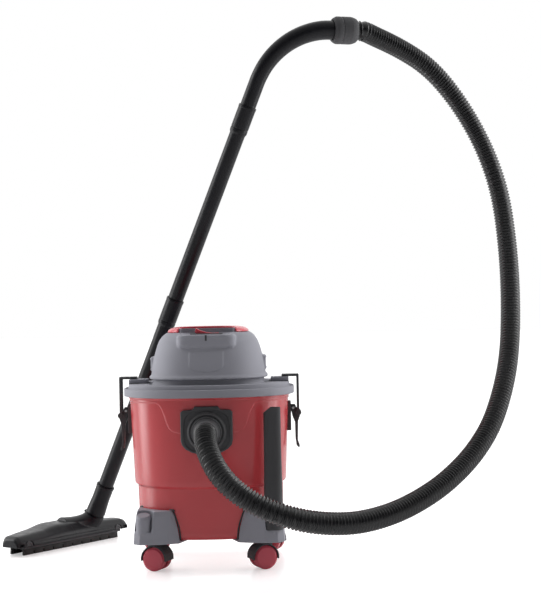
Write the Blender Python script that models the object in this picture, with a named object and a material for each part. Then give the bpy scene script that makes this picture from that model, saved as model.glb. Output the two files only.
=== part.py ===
"""Wet and dry shop vacuum on four twin-wheel casters, with its hose, wand, floor nozzle and crevice tool.

Metres, +Z up, floor at z = 0, front of the vacuum towards -Y.  Every piece is placed about the tank's
upright axis; centre_on_floor() then puts the frame's origin under the middle of the whole object.
"""
import math

import bmesh
import bpy
from mathutils import Matrix, Vector

# ---------------------------------------------------------------- clearances
GAP = 0.0003                # between pieces that touch
RUN = 0.0006                # around pieces that turn or slide

# ---------------------------------------------------------------- tank
TANK_POWER = 2.4            # squareness of the plan: 2 is round
TANK_SIDES = 44
TANK_WALL = 0.0030
TANK_BOTTOM_Z = 0.0545
TANK_TOP_Z = 0.3040
TANK_TOP_HALF = 0.1437
TANK_BOTTOM_HALF = TANK_TOP_HALF - 0.0147
TANK_CORNER = 0.0040        # bevel round the tank's floor
STEP_Z = 0.1465
STEP_LOWER_HALF = TANK_TOP_HALF - 0.0122
STEP_UPPER_HALF = TANK_TOP_HALF - 0.0069
STEP_FALL = 0.0030          # step's lower edge under its middle
STEP_CLIMB = 0.0020         # step's upper edge over its middle
RIM_HALF = TANK_TOP_HALF + 0.0036
RIM_DEPTH = 0.0045

# ---------------------------------------------------------------- lid
SEAL_THICK = 0.0027
LID_OVERLAP = 0.0010         # band's lower edge under the tank's rim
LID_RIM_ROOM = 0.0008       # between the tank's rim and the band's inside
LID_BAND_HALF = RIM_HALF + 0.0067
LID_BAND_HEIGHT = 0.0135
LID_BAND_BEVEL = 0.0015
LID_FLOOR = 0.0030
DECK_HALF = LID_BAND_HALF - 0.0090
DECK_TAPER = 0.0010
DECK_RISE = 0.0075          # deck above the band
COLLAR_HALF_X = DECK_HALF - 0.0450
COLLAR_HALF_Y = DECK_HALF - 0.0190
COLLAR_POWER = 2.8
COLLAR_RISE = 0.0095
COLLAR_WALL = 0.0035
INTAKE_R = 0.0400

# ---------------------------------------------------------------- motor head
HEAD_LIP = 0.0070           # how far the cover's lip stands out from the lid's collar
HEAD_HEIGHT = 0.0812
HEAD_WALL = 0.0026
HEAD_SIDES = 36
CAP_HALF_X = 0.687 * (COLLAR_HALF_X + HEAD_LIP)
CAP_HALF_Y = 0.605 * (COLLAR_HALF_Y + HEAD_LIP)
CAP_POWER = 2.6
CAP_HEIGHT = 0.0110
CAP_WALL = 0.0025
CONSOLE_HALF_X = 0.0520
CONSOLE_FRONT_Y = 0.0135 - COLLAR_HALF_Y
CONSOLE_BACK_Y = CONSOLE_FRONT_Y + 0.0685
CONSOLE_HEIGHT = 0.0205
CONSOLE_DROP = 0.0035       # console's top under the cover's top
CONSOLE_WALL = 0.0030
BASIN_RIM = 0.0050          # console left standing beside the basin
EAR_INNER_X = COLLAR_HALF_X - 0.0150
EAR_HALF_Y = 0.0300
EAR_LOW = 0.0125            # heights above the cover's lower edge
EAR_HIGH = 0.0385
EAR_SLOT_HALF_Y = 0.0240
EAR_SLOT_LOW = 0.0180
EAR_SLOT_HIGH = 0.0330
EXHAUST_HALF_X = 0.0300
EXHAUST_LOW = 0.0160
EXHAUST_HIGH = 0.0380
GRILLE_RIM = 0.0050
GRILLE_SLATS = 4
GRILLE_PITCH = 0.0052
GRILLE_GAP = 0.0028
GLAND_X = 0.0560
GLAND_RISE = 0.0200
SWITCH_Y = CONSOLE_FRONT_Y + 0.0315
SWITCH_HALF_X = 0.0265      # body of the switch frame
SWITCH_HALF_Y = 0.0135
SWITCH_RIM = 0.0022
SWITCH_DEPTH = 0.0135
ROCKER_HALF_X = 0.0205
ROCKER_HALF_Y = 0.0095
ROCKER_TILT = math.radians(12)

# ---------------------------------------------------------------- inlet
INLET_Z = TANK_TOP_Z - 0.0595
PLATE_HALF_X = 0.0450
PLATE_TOP = 0.0440          # plate above the inlet's centre
PLATE_BOTTOM = 0.0400
PLATE_PROUD = 0.0080        # plate in front of the tank's wall
PLATE_BEVEL = 0.0015
SOCKET_R = 0.0245           # tail that passes through plate and wall
SOCKET_FLANGE_R = 0.0320
SOCKET_BORE_R = 0.0222
SOCKET_TAIL = 0.0180        # tail behind the tank's wall
CUFF_BORE_R = 0.0165
CUFF_PROUD = 0.0410         # cuff's end in front of the plate

# ---------------------------------------------------------------- hose
HOSE_OD = 0.0385
HOSE_STEP = 0.0580          # spacing of the points along the tube
HOSE_LEAD = 0.0150          # straight stretch at each end

# ---------------------------------------------------------------- feet and casters
FOOT_BOTTOM_Z = TANK_BOTTOM_Z - 0.0040
FOOT_TOP_Z = FOOT_BOTTOM_Z + 0.0565
REAR_FOOT_DROP = 0.0120     # rear feet are lower: they carry no peg
FOOT_HALF = TANK_BOTTOM_HALF + 0.0040   # side edge of a foot from the tank's axis
FOOT_REACH = 0.0100         # front edge of a foot beyond its side edge
FOOT_INNER_R = 0.1000
FOOT_SPAN = math.radians(22.5)
PEG_X = FOOT_HALF - 0.0200
PEG_Y = 0.0050 - FOOT_HALF
PEG_R = 0.0135
PEG_TOP_Z = FOOT_BOTTOM_Z + 0.0505
PEG_SLANT = 0.25            # fall of the peg's top towards the front
NOTCH_FLOOR_Z = FOOT_BOTTOM_Z + 0.0215
NOTCH_ROOM = 0.0018         # between the crevice tool and its notch
CASTER_X = FOOT_HALF - 0.0325
CASTER_Y = FOOT_HALF - 0.0390
STEM_DEPTH = 0.0018         # caster's stem inside the foot
CASTER_TRAIL = 0.0080
CASTER_YAW = math.radians(69)
WHEEL_R = 0.0210
WHEEL_WIDTH = 0.0130
WEB_HALF = 0.0040
HOOD_WALL = 0.0022
AXLE_R = 0.0025
STEM_R = 0.0055
COLLAR_R = 0.0092           # caster's collar under the foot
HUB_R = 0.0085
WHEEL_SIDE_GAP = 0.0010
HOOD_GAP = 0.0008           # between hood and tread

# ---------------------------------------------------------------- side latches
LATCH_PIVOT = (RIM_HALF + 0.0047, TANK_TOP_Z - 0.0295)       # outward, up
LATCH_LINK = (0.0090, -0.0080)       # lever's pivot to the hook's pivot
LEVER_HALF = 0.0115
LEVER_LENGTH = 0.0720
HOOK_LEG = 0.0040
HOOK_RISE = 0.0040                   # hook's cross bar above the lid's pad
HOOK_SIDE_GAP = 0.0010
HOOK_EYE_R = 0.0056
TRUNNION_R = 0.0028
TRUNNION_PROUD = 0.0050
PAD_HALF_Y = 0.0260                  # pads under the hooks
PAD_INNER = DECK_HALF - 0.0330
PAD_OUTER = DECK_HALF - 0.0005
PAD_RISE = 0.0080
SLOT_INNER = DECK_HALF - 0.0140      # slot in the pad for the hook's lip
SLOT_OUTER = DECK_HALF - 0.0030
SLOT_HALF_Y = 0.0190
SLOT_DEPTH = 0.0050
LIP_THICK = 0.0029
LIP_DEPTH = 0.0035
PLATE_LATCH_HALF_Y = 0.0180          # plate that carries the latch on the tank
PLATE_LATCH_LOW = 0.0400
PLATE_LATCH_HIGH = 0.0125
LATCH_PIN_R = 0.0021

# ---------------------------------------------------------------- crevice tool
TOOL_R = 0.0165
TOOL_WALL = 0.0018
TOOL_LENGTH = TANK_TOP_Z - 0.0925
TOOL_SLANT = 0.75
TOOL_TIP_HALF_X = 0.0150
TOOL_TIP_HALF_Y = 0.0080

# ---------------------------------------------------------------- wand, handle and floor nozzle
WAND_FOOT = Vector((-0.2434, 0.2500, 0.0541))
WAND_HEAD = Vector((0.0790, 0.0800, 0.8380))
TUBE_R = 0.0150
TUBE_WALL = 0.0017
SOCKET_LENGTH = 0.0520
SOCKET_WALL = 0.0020
INSERT_LENGTH = 0.0400
NECK_LENGTH = 0.0640
WAND_SPLIT = 0.541          # share of the wand below the upper tube
HANDLE_STRAIGHT = 0.0484
HANDLE_BEND_R = 0.1456
HANDLE_END_R = 0.0180
HANDLE_OUT = Vector((0.96, 0.27, 0.0)).normalized()
COUPLING_R = 0.0258
COUPLING_LENGTH = 0.0470
NOZZLE_MIDDLE = (-0.3050, 0.2103)
NOZZLE_HEADING = math.radians(54)
NOZZLE_LENGTH = 0.3090
NOZZLE_WIDTH = 0.0760
NOZZLE_FLOOR_Z = 0.0165
NOZZLE_END_Z = 0.0370
NOZZLE_MIDDLE_Z = 0.0470
DUCT_R = 0.0190
DUCT_RISE = 0.0300          # length over which the duct turns up into the neck
SOLE_THICK = 0.0040
STRIP_LENGTH = 0.2620
STRIP_THICK = 0.0050
STRIP_FRONT = -0.0270        # across the nozzle, from its middle
STRIP_BACK = 0.0050
STRIP_PARTS = 10            # lengths between the strip's slots
STRIP_SLOT = 0.0030
STRIP_SLOT_HEIGHT = 0.0062

# ---------------------------------------------------------------- inside
HOUSING_R = 0.0640
HOUSING_HEIGHT = 0.0260
MOTOR_R = 0.0440
MOTOR_HEIGHT = 0.0520
SHAFT_R = 0.0040
FAN_R = 0.0570
FAN_HEIGHT = 0.0150
CAGE_R = 0.0460
CAGE_DEPTH = 0.0660
CAGE_WALL = 0.0025
FLOAT_R = 0.0190
FLOAT_TRAVEL = 0.0200
SLEEVE_THICK = 0.0070
GLAND_R = 0.0060

# The hose's route by hand, from the cuff's mouth round to the coupling, about the tank's axis.
HOSE_ROUTE = [
    (0.001, -0.226, 0.235), (0.007, -0.252, 0.218), (0.021, -0.278, 0.193),
    (0.046, -0.298, 0.165), (0.085, -0.309, 0.139), (0.135, -0.306, 0.118), (0.190, -0.287, 0.104),
    (0.255, -0.250, 0.099), (0.325, -0.198, 0.110), (0.395, -0.136, 0.137), (0.452, -0.076, 0.173),
    (0.493, -0.028, 0.212), (0.522, 0.012, 0.254), (0.549, 0.060, 0.316), (0.567, 0.108, 0.382),
    (0.578, 0.156, 0.471), (0.581, 0.196, 0.566), (0.574, 0.222, 0.662), (0.556, 0.234, 0.737),
    (0.524, 0.233, 0.809), (0.479, 0.217, 0.876), (0.430, 0.190, 0.924), (0.372, 0.153, 0.955)]


# ================================================================ helpers
def material(name, colour, roughness, metallic=0.0):
    """A Principled material, made once for each name."""
    made = bpy.data.materials.get(name)
    if made is None:
        made = bpy.data.materials.new(name)
        made.use_nodes = True
        shader = made.node_tree.nodes["Principled BSDF"]
        shader.inputs["Base Color"].default_value = (*colour, 1.0)
        shader.inputs["Roughness"].default_value = roughness
        shader.inputs["Metallic"].default_value = metallic
    return made


def tank_red():
    return material("tank_red", (0.42, 0.02, 0.03), 0.42)


def lid_grey():
    return material("lid_grey", (0.13, 0.13, 0.16), 0.40)


def trim_black():
    return material("trim_black", (0.018, 0.018, 0.022), 0.45)


def hose_black():
    return material("hose_black", (0.016, 0.016, 0.018), 0.50)


def wheel_red():
    return material("wheel_red", (0.38, 0.02, 0.035), 0.45)


def cap_red():
    return material("cap_red", (0.50, 0.02, 0.03), 0.35)


def seal_rubber():
    return material("seal_rubber", (0.03, 0.03, 0.03), 0.80)


def steel():
    return material("steel", (0.60, 0.60, 0.62), 0.35, 1.0)


def inner_plastic():
    return material("inner_plastic", (0.05, 0.05, 0.055), 0.60)


def foam():
    return material("foam", (0.03, 0.03, 0.035), 0.95)


def ring(half_x, half_y, power, z, sides):
    """Points of a rounded outline: power 2 is an ellipse, more is squarer."""
    points = []
    for step in range(sides):
        turn = 2 * math.pi * step / sides
        c, s = math.cos(turn), math.sin(turn)
        x = half_x * math.copysign(abs(c) ** (2 / power), c)
        y = half_y * math.copysign(abs(s) ** (2 / power), s)
        points.append(Vector((x, y, z)))
    return points


def loft(rings, closed=False):
    """A body through rings of equal count: its ends capped, or its last ring joined to its first."""
    made = bmesh.new()
    rows = [[made.verts.new(point) for point in one] for one in rings]
    pairs = list(zip(rows, rows[1:]))
    if closed:
        pairs.append((rows[-1], rows[0]))
    count = len(rows[0])
    for low, high in pairs:
        for step in range(count):
            after = (step + 1) % count
            made.faces.new((low[step], low[after], high[after], high[step]))
    if not closed:
        made.faces.new(rows[0][::-1])
        made.faces.new(rows[-1])
    bmesh.ops.remove_doubles(made, verts=made.verts, dist=1e-6)
    bmesh.ops.dissolve_degenerate(made, dist=1e-6, edges=made.edges)
    bmesh.ops.recalc_face_normals(made, faces=made.faces)
    return made


def turned(profile, sides=24, closed=False):
    """A body turned about Z from (radius, height) points."""
    return loft([ring(max(r, 1e-9), max(r, 1e-9), 2, z, sides) for r, z in profile], closed)


def bar(outline, half, axis="Y"):
    """A flat outline pushed out to both sides: (outward, up) points along Y, or along X."""
    def place(first, second, third):
        return Vector((first, third, second)) if axis == "Y" else Vector((third, first, second))
    return loft([[place(u, w, side * half) for u, w in outline] for side in (-1, 1)])


def block(low, high):
    """A plain box between two corners."""
    (x0, y0, z0), (x1, y1, z1) = low, high
    return loft([[Vector((x, y, z)) for x, y in ((x0, y0), (x1, y0), (x1, y1), (x0, y1))]
                 for z in (z0, z1)])


def rod(radius, start, end, sides=16):
    """A plain round bar between two points."""
    start, end = Vector(start), Vector(end)
    made = turned([(radius, 0.0), (radius, (end - start).length)], sides)
    made.transform(Matrix.Translation(start) @ turn_to(end - start).to_4x4())
    return made


def turn_to(direction):
    """The turn that takes +Z to a direction."""
    return Vector((0, 0, 1)).rotation_difference(direction.normalized()).to_matrix()


def put(name, shape, finish, parent=None, at=(0, 0, 0), turn=None):
    """A named object from a shape, smooth where it is round."""
    mesh = bpy.data.meshes.new(name)
    shape.to_mesh(mesh)
    shape.free()
    made = bpy.data.objects.new(name, mesh)
    bpy.context.scene.collection.objects.link(made)
    if finish is not None:
        mesh.materials.append(finish)
    mesh.shade_smooth()
    mesh.set_sharp_from_angle(angle=math.radians(32))
    made.parent = parent
    made.location = at
    if turn is not None:
        made.rotation_euler = turn
    return made


def frame(name, at=(0, 0, 0), turn=(0, 0, 0), parent=None):
    """An empty that carries other pieces."""
    made = bpy.data.objects.new(name, None)
    bpy.context.scene.collection.objects.link(made)
    made.location = at
    made.rotation_euler = turn
    made.parent = parent
    return made


def shape_with(target, kind, name, shape, parent=None, at=(0, 0, 0), turn=None):
    """Add a guide body to a piece, or take it away, with a Boolean."""
    guide = put(name, shape, None, parent, at, turn)
    guide.hide_render = True
    guide.display_type = "WIRE"
    change = target.modifiers.new(name, "BOOLEAN")
    change.operation = kind
    change.object = guide
    change.solver = "EXACT"
    return guide


def swept(path, radii, sides=20):
    """Rings square to a path, one radius for each of its points."""
    path = [Vector(point) for point in path]
    across = (path[1] - path[0]).orthogonal().normalized()
    rings = []
    for step, point in enumerate(path):
        ahead = path[min(step + 1, len(path) - 1)] - path[max(step - 1, 0)]
        ahead.normalize()
        across = (across - ahead * across.dot(ahead)).normalized()
        other = ahead.cross(across)
        rings.append([point + radii[step] * (math.cos(a) * across + math.sin(a) * other)
                      for a in (2 * math.pi * k / sides for k in range(sides))])
    return rings


def smooth_route(points, spacing):
    """Evenly spaced points on a smooth curve through a route's own points."""
    points = [Vector(point) for point in points]
    padded = [2 * points[0] - points[1]] + points + [2 * points[-1] - points[-2]]
    fine = []
    for a, b, c, d in zip(padded, padded[1:], padded[2:], padded[3:]):
        for step in range(16):
            t = step / 16
            fine.append(0.5 * (2 * b + (c - a) * t + (2 * a - 5 * b + 4 * c - d) * t * t
                               + (3 * b - a - 3 * c + d) * t ** 3))
    fine.append(points[-1])
    reach = [0.0]
    for before, after in zip(fine, fine[1:]):
        reach.append(reach[-1] + (after - before).length)
    count = max(2, round(reach[-1] / spacing))
    route, place = [], 0
    for step in range(count + 1):
        goal = reach[-1] * step / count
        while place < len(reach) - 2 and reach[place + 1] < goal:
            place += 1
        part = (goal - reach[place]) / (reach[place + 1] - reach[place])
        route.append(fine[place].lerp(fine[place + 1], min(max(part, 0.0), 1.0)))
    return route


# ================================================================ heights that follow from the sizes
LID_UNDER_Z = TANK_TOP_Z + SEAL_THICK + 2 * GAP
LID_BAND_BOTTOM_Z = TANK_TOP_Z - LID_OVERLAP
LID_BAND_TOP_Z = LID_BAND_BOTTOM_Z + LID_BAND_HEIGHT
LID_FLOOR_Z = LID_UNDER_Z + LID_FLOOR
DECK_Z = LID_BAND_TOP_Z + DECK_RISE
COLLAR_Z = DECK_Z + COLLAR_RISE
HEAD_Z = COLLAR_Z + GAP
HEAD_TOP_Z = HEAD_Z + HEAD_HEIGHT
CONSOLE_TOP_Z = HEAD_TOP_Z - CONSOLE_DROP
PAD_Z = DECK_Z + PAD_RISE
WAND_AXIS = (WAND_HEAD - WAND_FOOT).normalized()
WAND_LENGTH = (WAND_HEAD - WAND_FOOT).length


def tank_half(z):
    """The tank's outside half width at a height."""
    if z >= STEP_Z:
        share = (z - STEP_Z) / (TANK_TOP_Z - RIM_DEPTH - STEP_Z)
        return STEP_UPPER_HALF + (TANK_TOP_HALF - STEP_UPPER_HALF) * min(share, 1.0)
    share = (z - TANK_BOTTOM_Z) / (STEP_Z - TANK_BOTTOM_Z)
    return TANK_BOTTOM_HALF + (STEP_LOWER_HALF - TANK_BOTTOM_HALF) * share


def tank_reach(angle, z):
    """The tank's outside radius in one direction at a height."""
    c, s = abs(math.cos(angle)), abs(math.sin(angle))
    return tank_half(z) / (c ** TANK_POWER + s ** TANK_POWER) ** (1 / TANK_POWER)


def tank_space(grown):
    """The solid that the tank takes up under its rim, grown all round."""
    levels = [(TANK_BOTTOM_Z - grown, TANK_BOTTOM_HALF), (STEP_Z - STEP_FALL, STEP_LOWER_HALF),
              (STEP_Z + STEP_CLIMB, STEP_UPPER_HALF), (TANK_TOP_Z - RIM_DEPTH, TANK_TOP_HALF)]
    return loft([ring(half + grown, half + grown, TANK_POWER, z, TANK_SIDES) for z, half in levels])


# ================================================================ tank and lid
def make_tank(base):
    corner = TANK_CORNER
    floor = TANK_BOTTOM_Z + TANK_WALL
    inside = [(TANK_BOTTOM_HALF - corner - TANK_WALL, floor), (TANK_BOTTOM_HALF - TANK_WALL, floor + corner),
              (STEP_LOWER_HALF - TANK_WALL, STEP_Z - STEP_FALL),
              (STEP_UPPER_HALF - TANK_WALL, STEP_Z + STEP_CLIMB),
              (TANK_TOP_HALF - TANK_WALL, TANK_TOP_Z)]
    outside = [(RIM_HALF, TANK_TOP_Z), (RIM_HALF, TANK_TOP_Z - RIM_DEPTH + 0.001),
               (TANK_TOP_HALF, TANK_TOP_Z - RIM_DEPTH),
               (STEP_UPPER_HALF, STEP_Z + STEP_CLIMB), (STEP_LOWER_HALF, STEP_Z - STEP_FALL),
               (TANK_BOTTOM_HALF, TANK_BOTTOM_Z + corner), (TANK_BOTTOM_HALF - corner, TANK_BOTTOM_Z)]
    shape = loft([ring(half, half, TANK_POWER, z, TANK_SIDES) for half, z in inside + outside])
    tank = put("tank", shape, tank_red(), base)
    shape_with(tank, "DIFFERENCE", "cut_tank_inlet",
               rod(SOCKET_R + GAP, (0, -0.5 * RIM_HALF, INLET_Z), (0, -1.5 * RIM_HALF, INLET_Z), 28), base)


def make_lid(base):
    seal_in, seal_out = TANK_TOP_HALF - TANK_WALL + 0.001, RIM_HALF - 0.001
    low, high = TANK_TOP_Z + GAP, TANK_TOP_Z + GAP + SEAL_THICK
    shape = loft([ring(half, half, TANK_POWER, z, TANK_SIDES)
                  for half, z in ((seal_in, low), (seal_out, low), (seal_out, high), (seal_in, high))], True)
    put("lid_seal", shape, seal_rubber(), base)

    rim_in = RIM_HALF + LID_RIM_ROOM
    inner_x, inner_y = COLLAR_HALF_X - COLLAR_WALL, COLLAR_HALF_Y - COLLAR_WALL
    levels = [(LID_BAND_HALF, LID_BAND_HALF, TANK_POWER, LID_BAND_BOTTOM_Z),
              (LID_BAND_HALF, LID_BAND_HALF, TANK_POWER, LID_BAND_TOP_Z - LID_BAND_BEVEL),
              (LID_BAND_HALF - LID_BAND_BEVEL, LID_BAND_HALF - LID_BAND_BEVEL, TANK_POWER, LID_BAND_TOP_Z),
              (DECK_HALF + DECK_TAPER, DECK_HALF + DECK_TAPER, TANK_POWER, LID_BAND_TOP_Z),
              (DECK_HALF, DECK_HALF, TANK_POWER, DECK_Z),
              (COLLAR_HALF_X + DECK_TAPER, COLLAR_HALF_Y + DECK_TAPER, COLLAR_POWER, DECK_Z),
              (COLLAR_HALF_X, COLLAR_HALF_Y, COLLAR_POWER, COLLAR_Z),
              (inner_x, inner_y, COLLAR_POWER, COLLAR_Z),
              (inner_x, inner_y, COLLAR_POWER, LID_FLOOR_Z),
              (INTAKE_R, INTAKE_R, 2, LID_FLOOR_Z),
              (INTAKE_R, INTAKE_R, 2, LID_UNDER_Z),
              (inner_x, inner_y, COLLAR_POWER, LID_UNDER_Z),
              (inner_x + 0.005, inner_y + 0.005, COLLAR_POWER, DECK_Z - LID_FLOOR),
              (DECK_HALF - 0.004, DECK_HALF - 0.004, TANK_POWER, DECK_Z - LID_FLOOR),
              (rim_in - 0.009, rim_in - 0.009, TANK_POWER, LID_UNDER_Z),
              (rim_in, rim_in, TANK_POWER, LID_UNDER_Z),
              (rim_in, rim_in, TANK_POWER, LID_BAND_BOTTOM_Z)]
    put("lid", loft([ring(*level, TANK_SIDES) for level in levels], True), lid_grey(), base)


def make_lid_pad(base, name, side):
    """The raised pad on the lid's deck that one latch hooks into."""
    inner, outer = sorted((side * PAD_INNER, side * PAD_OUTER))
    pad = put("lid_pad_" + name, block((inner, -PAD_HALF_Y, DECK_Z + GAP), (outer, PAD_HALF_Y, PAD_Z)),
              lid_grey(), base)
    near, far = sorted((side * SLOT_INNER, side * SLOT_OUTER))
    shape_with(pad, "DIFFERENCE", "cut_slot_" + name,
               block((near, -SLOT_HALF_Y, PAD_Z - SLOT_DEPTH), (far, SLOT_HALF_Y, PAD_Z + SLOT_DEPTH)), base)


# ================================================================ motor head
def head_levels():
    """Half widths, squareness and height of the motor cover's outside, from its lip to its top."""
    lip_x, lip_y = COLLAR_HALF_X + HEAD_LIP, COLLAR_HALF_Y + HEAD_LIP
    shares = [(1.000, 1.000, 2.8, 0.000), (1.000, 1.000, 2.8, 0.052), (0.967, 0.974, 2.8, 0.077),
              (0.940, 0.929, 2.8, 0.305), (0.908, 0.876, 2.8, 0.515), (0.870, 0.820, 2.7, 0.695),
              (0.832, 0.763, 2.7, 0.822), (0.776, 0.695, 2.6, 0.926), (0.705, 0.624, 2.6, 1.000)]
    return [(lip_x * sx, lip_y * sy, power, HEAD_Z + HEAD_HEIGHT * rise) for sx, sy, power, rise in shares]


def head_space(grown):
    """The solid that the motor cover takes up, grown all round."""
    return loft([ring(x + grown, y + grown, power, z, HEAD_SIDES) for x, y, power, z in head_levels()])


def make_motor_cover(base):
    outside = head_levels()
    inside = [(x - HEAD_WALL, y - HEAD_WALL, power, min(z, HEAD_TOP_Z - HEAD_WALL))
              for x, y, power, z in outside[3:]]
    mouth = (COLLAR_HALF_X - COLLAR_WALL, COLLAR_HALF_Y - COLLAR_WALL, COLLAR_POWER, HEAD_Z)
    rings = [ring(*level, HEAD_SIDES) for level in outside[::-1] + [mouth] + inside]
    cover = put("motor_cover", loft(rings), lid_grey(), base)

    front, back = CONSOLE_FRONT_Y, CONSOLE_BACK_Y
    rear_in, rear_out = COLLAR_HALF_Y - 0.036, COLLAR_HALF_Y + 0.024
    gland_z = HEAD_Z + GLAND_RISE
    shape_with(cover, "UNION", "add_console",
               block((-CONSOLE_HALF_X, front, CONSOLE_TOP_Z - CONSOLE_HEIGHT),
                     (CONSOLE_HALF_X, back, CONSOLE_TOP_Z)), base)
    for name, side in (("right", 1), ("left", -1)):
        ends = sorted((side * EAR_INNER_X, side * (COLLAR_HALF_X + HEAD_LIP - 0.001)))
        shape_with(cover, "UNION", "add_ear_" + name,
                   block((ends[0], -EAR_HALF_Y, HEAD_Z + EAR_LOW),
                         (ends[1], EAR_HALF_Y, HEAD_Z + EAR_HIGH)), base)
    shape_with(cover, "DIFFERENCE", "cut_ear_slots",
               block((-RIM_HALF, -EAR_SLOT_HALF_Y, HEAD_Z + EAR_SLOT_LOW),
                     (RIM_HALF, EAR_SLOT_HALF_Y, HEAD_Z + EAR_SLOT_HIGH)), base)
    shape_with(cover, "DIFFERENCE", "cut_console_inside",
               block((CONSOLE_WALL - CONSOLE_HALF_X, front + CONSOLE_WALL, CONSOLE_TOP_Z - CONSOLE_HEIGHT - 0.01),
                     (CONSOLE_HALF_X - CONSOLE_WALL, back - CONSOLE_WALL, CONSOLE_TOP_Z - CONSOLE_WALL)),
               base)
    shape_with(cover, "DIFFERENCE", "cut_basin",
               block((BASIN_RIM - CONSOLE_HALF_X, front - 0.02, CONSOLE_TOP_Z),
                     (CONSOLE_HALF_X - BASIN_RIM, back - CONSOLE_WALL, HEAD_TOP_Z + 0.02)), base)
    pocket_x, pocket_y = SWITCH_HALF_X + GAP, SWITCH_HALF_Y + GAP
    shape_with(cover, "DIFFERENCE", "cut_switch_pocket",
               block((-pocket_x, SWITCH_Y - pocket_y, CONSOLE_TOP_Z - 0.01),
                     (pocket_x, SWITCH_Y + pocket_y, CONSOLE_TOP_Z + 0.01)), base)
    shape_with(cover, "DIFFERENCE", "cut_exhaust",
               block((-EXHAUST_HALF_X, rear_in, HEAD_Z + EXHAUST_LOW),
                     (EXHAUST_HALF_X, rear_out, HEAD_Z + EXHAUST_HIGH)), base)
    shape_with(cover, "DIFFERENCE", "cut_gland",
               rod(GLAND_R + GAP, (GLAND_X, rear_in, gland_z), (GLAND_X, rear_out, gland_z)), base)

    grille_x = EXHAUST_HALF_X + GRILLE_RIM
    grille = put("exhaust_grille",
                 block((-grille_x, rear_in, HEAD_Z + EXHAUST_LOW - 0.8 * GRILLE_RIM),
                       (grille_x, COLLAR_HALF_Y + HEAD_LIP - 0.0005, HEAD_Z + EXHAUST_HIGH + 0.8 * GRILLE_RIM)),
                 trim_black(), base)
    shape_with(grille, "DIFFERENCE", "cut_grille_seat", head_space(GAP), base)
    for step in range(GRILLE_SLATS):
        low = HEAD_Z + EXHAUST_LOW + 0.0015 + step * GRILLE_PITCH
        shape_with(grille, "DIFFERENCE", f"cut_grille_{step}",
                   block((0.002 - EXHAUST_HALF_X, rear_in, low),
                         (EXHAUST_HALF_X - 0.002, rear_out, low + GRILLE_GAP)), base)

    flange, bore = 0.0282, 0.0032
    gland = [(bore, 0.0), (0.0050, 0.0), (GLAND_R, 0.003), (GLAND_R, flange),
             (GLAND_R + 0.003, flange), (GLAND_R + 0.003, flange + 0.0025),
             (GLAND_R, flange + 0.004), (0.0048, flange + 0.012), (bore, flange + 0.012)]
    put("cable_gland", turned([(r, z) for r, z in gland], 16, True), trim_black(), base,
        (GLAND_X, COLLAR_HALF_Y - 0.028, gland_z), (math.radians(-90), 0, 0))


def make_top_cap(base):
    low = HEAD_TOP_Z + GAP
    outside = [(1.00, 0.00), (1.00, 0.15), (0.955, 0.55), (0.82, 0.86), (0.55, 1.00)]
    skin = [ring(CAP_HALF_X * s, CAP_HALF_Y * s, CAP_POWER, low + CAP_HEIGHT * h, HEAD_SIDES)
            for s, h in outside]
    core = [ring(CAP_HALF_X * s - CAP_WALL, CAP_HALF_Y * s - CAP_WALL, CAP_POWER,
                 low + max(CAP_HEIGHT * h - CAP_WALL, 0.0), HEAD_SIDES) for s, h in outside[1:]]
    core[0] = ring(CAP_HALF_X - CAP_WALL, CAP_HALF_Y - CAP_WALL, CAP_POWER, low, HEAD_SIDES)
    cap = put("top_cap", loft(skin[::-1] + core), cap_red(), base)
    shape_with(cap, "DIFFERENCE", "cut_cap_basin",
               block((-CONSOLE_HALF_X - 0.001, -0.2, low - 0.01),
                     (CONSOLE_HALF_X + 0.001, CONSOLE_BACK_Y + 0.0005, low + 0.05)), base)


def make_switch(base):
    top = CONSOLE_TOP_Z + GAP
    rim_x, rim_y = SWITCH_HALF_X + 0.002, SWITCH_HALF_Y + 0.002
    well_x, well_y = ROCKER_HALF_X + 0.0020, ROCKER_HALF_Y + 0.0008
    levels = [(SWITCH_HALF_X, SWITCH_HALF_Y, top - SWITCH_DEPTH), (SWITCH_HALF_X, SWITCH_HALF_Y, top),
              (rim_x, rim_y, top), (rim_x, rim_y, top + SWITCH_RIM - 0.0008),
              (rim_x - 0.0008, rim_y - 0.0008, top + SWITCH_RIM),
              (well_x, well_y, top + SWITCH_RIM), (well_x, well_y, top - SWITCH_DEPTH + 0.0015)]
    rings = [[Vector((sx * x, sy * y, z)) for sx, sy in ((-1, -1), (1, -1), (1, 1), (-1, 1))]
             for x, y, z in levels]
    put("switch_bezel", loft(rings), trim_black(), base, (0, SWITCH_Y, 0))

    outline = [(-ROCKER_HALF_X, 0.0075), (-0.012, 0.0048), (0.0, 0.0036), (0.012, 0.0048),
               (ROCKER_HALF_X, 0.0075), (ROCKER_HALF_X, -0.0005), (0.010, -0.0045), (0.0, -0.0055),
               (-0.010, -0.0045), (-ROCKER_HALF_X, -0.0005)]
    lean = Matrix.Rotation(-ROCKER_TILT, 2)
    tilted = [tuple(lean @ Vector(point)) for point in outline]
    put("rocker_switch", bar(tilted, ROCKER_HALF_Y), cap_red(), base, (0, SWITCH_Y, top + 0.0002))


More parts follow.
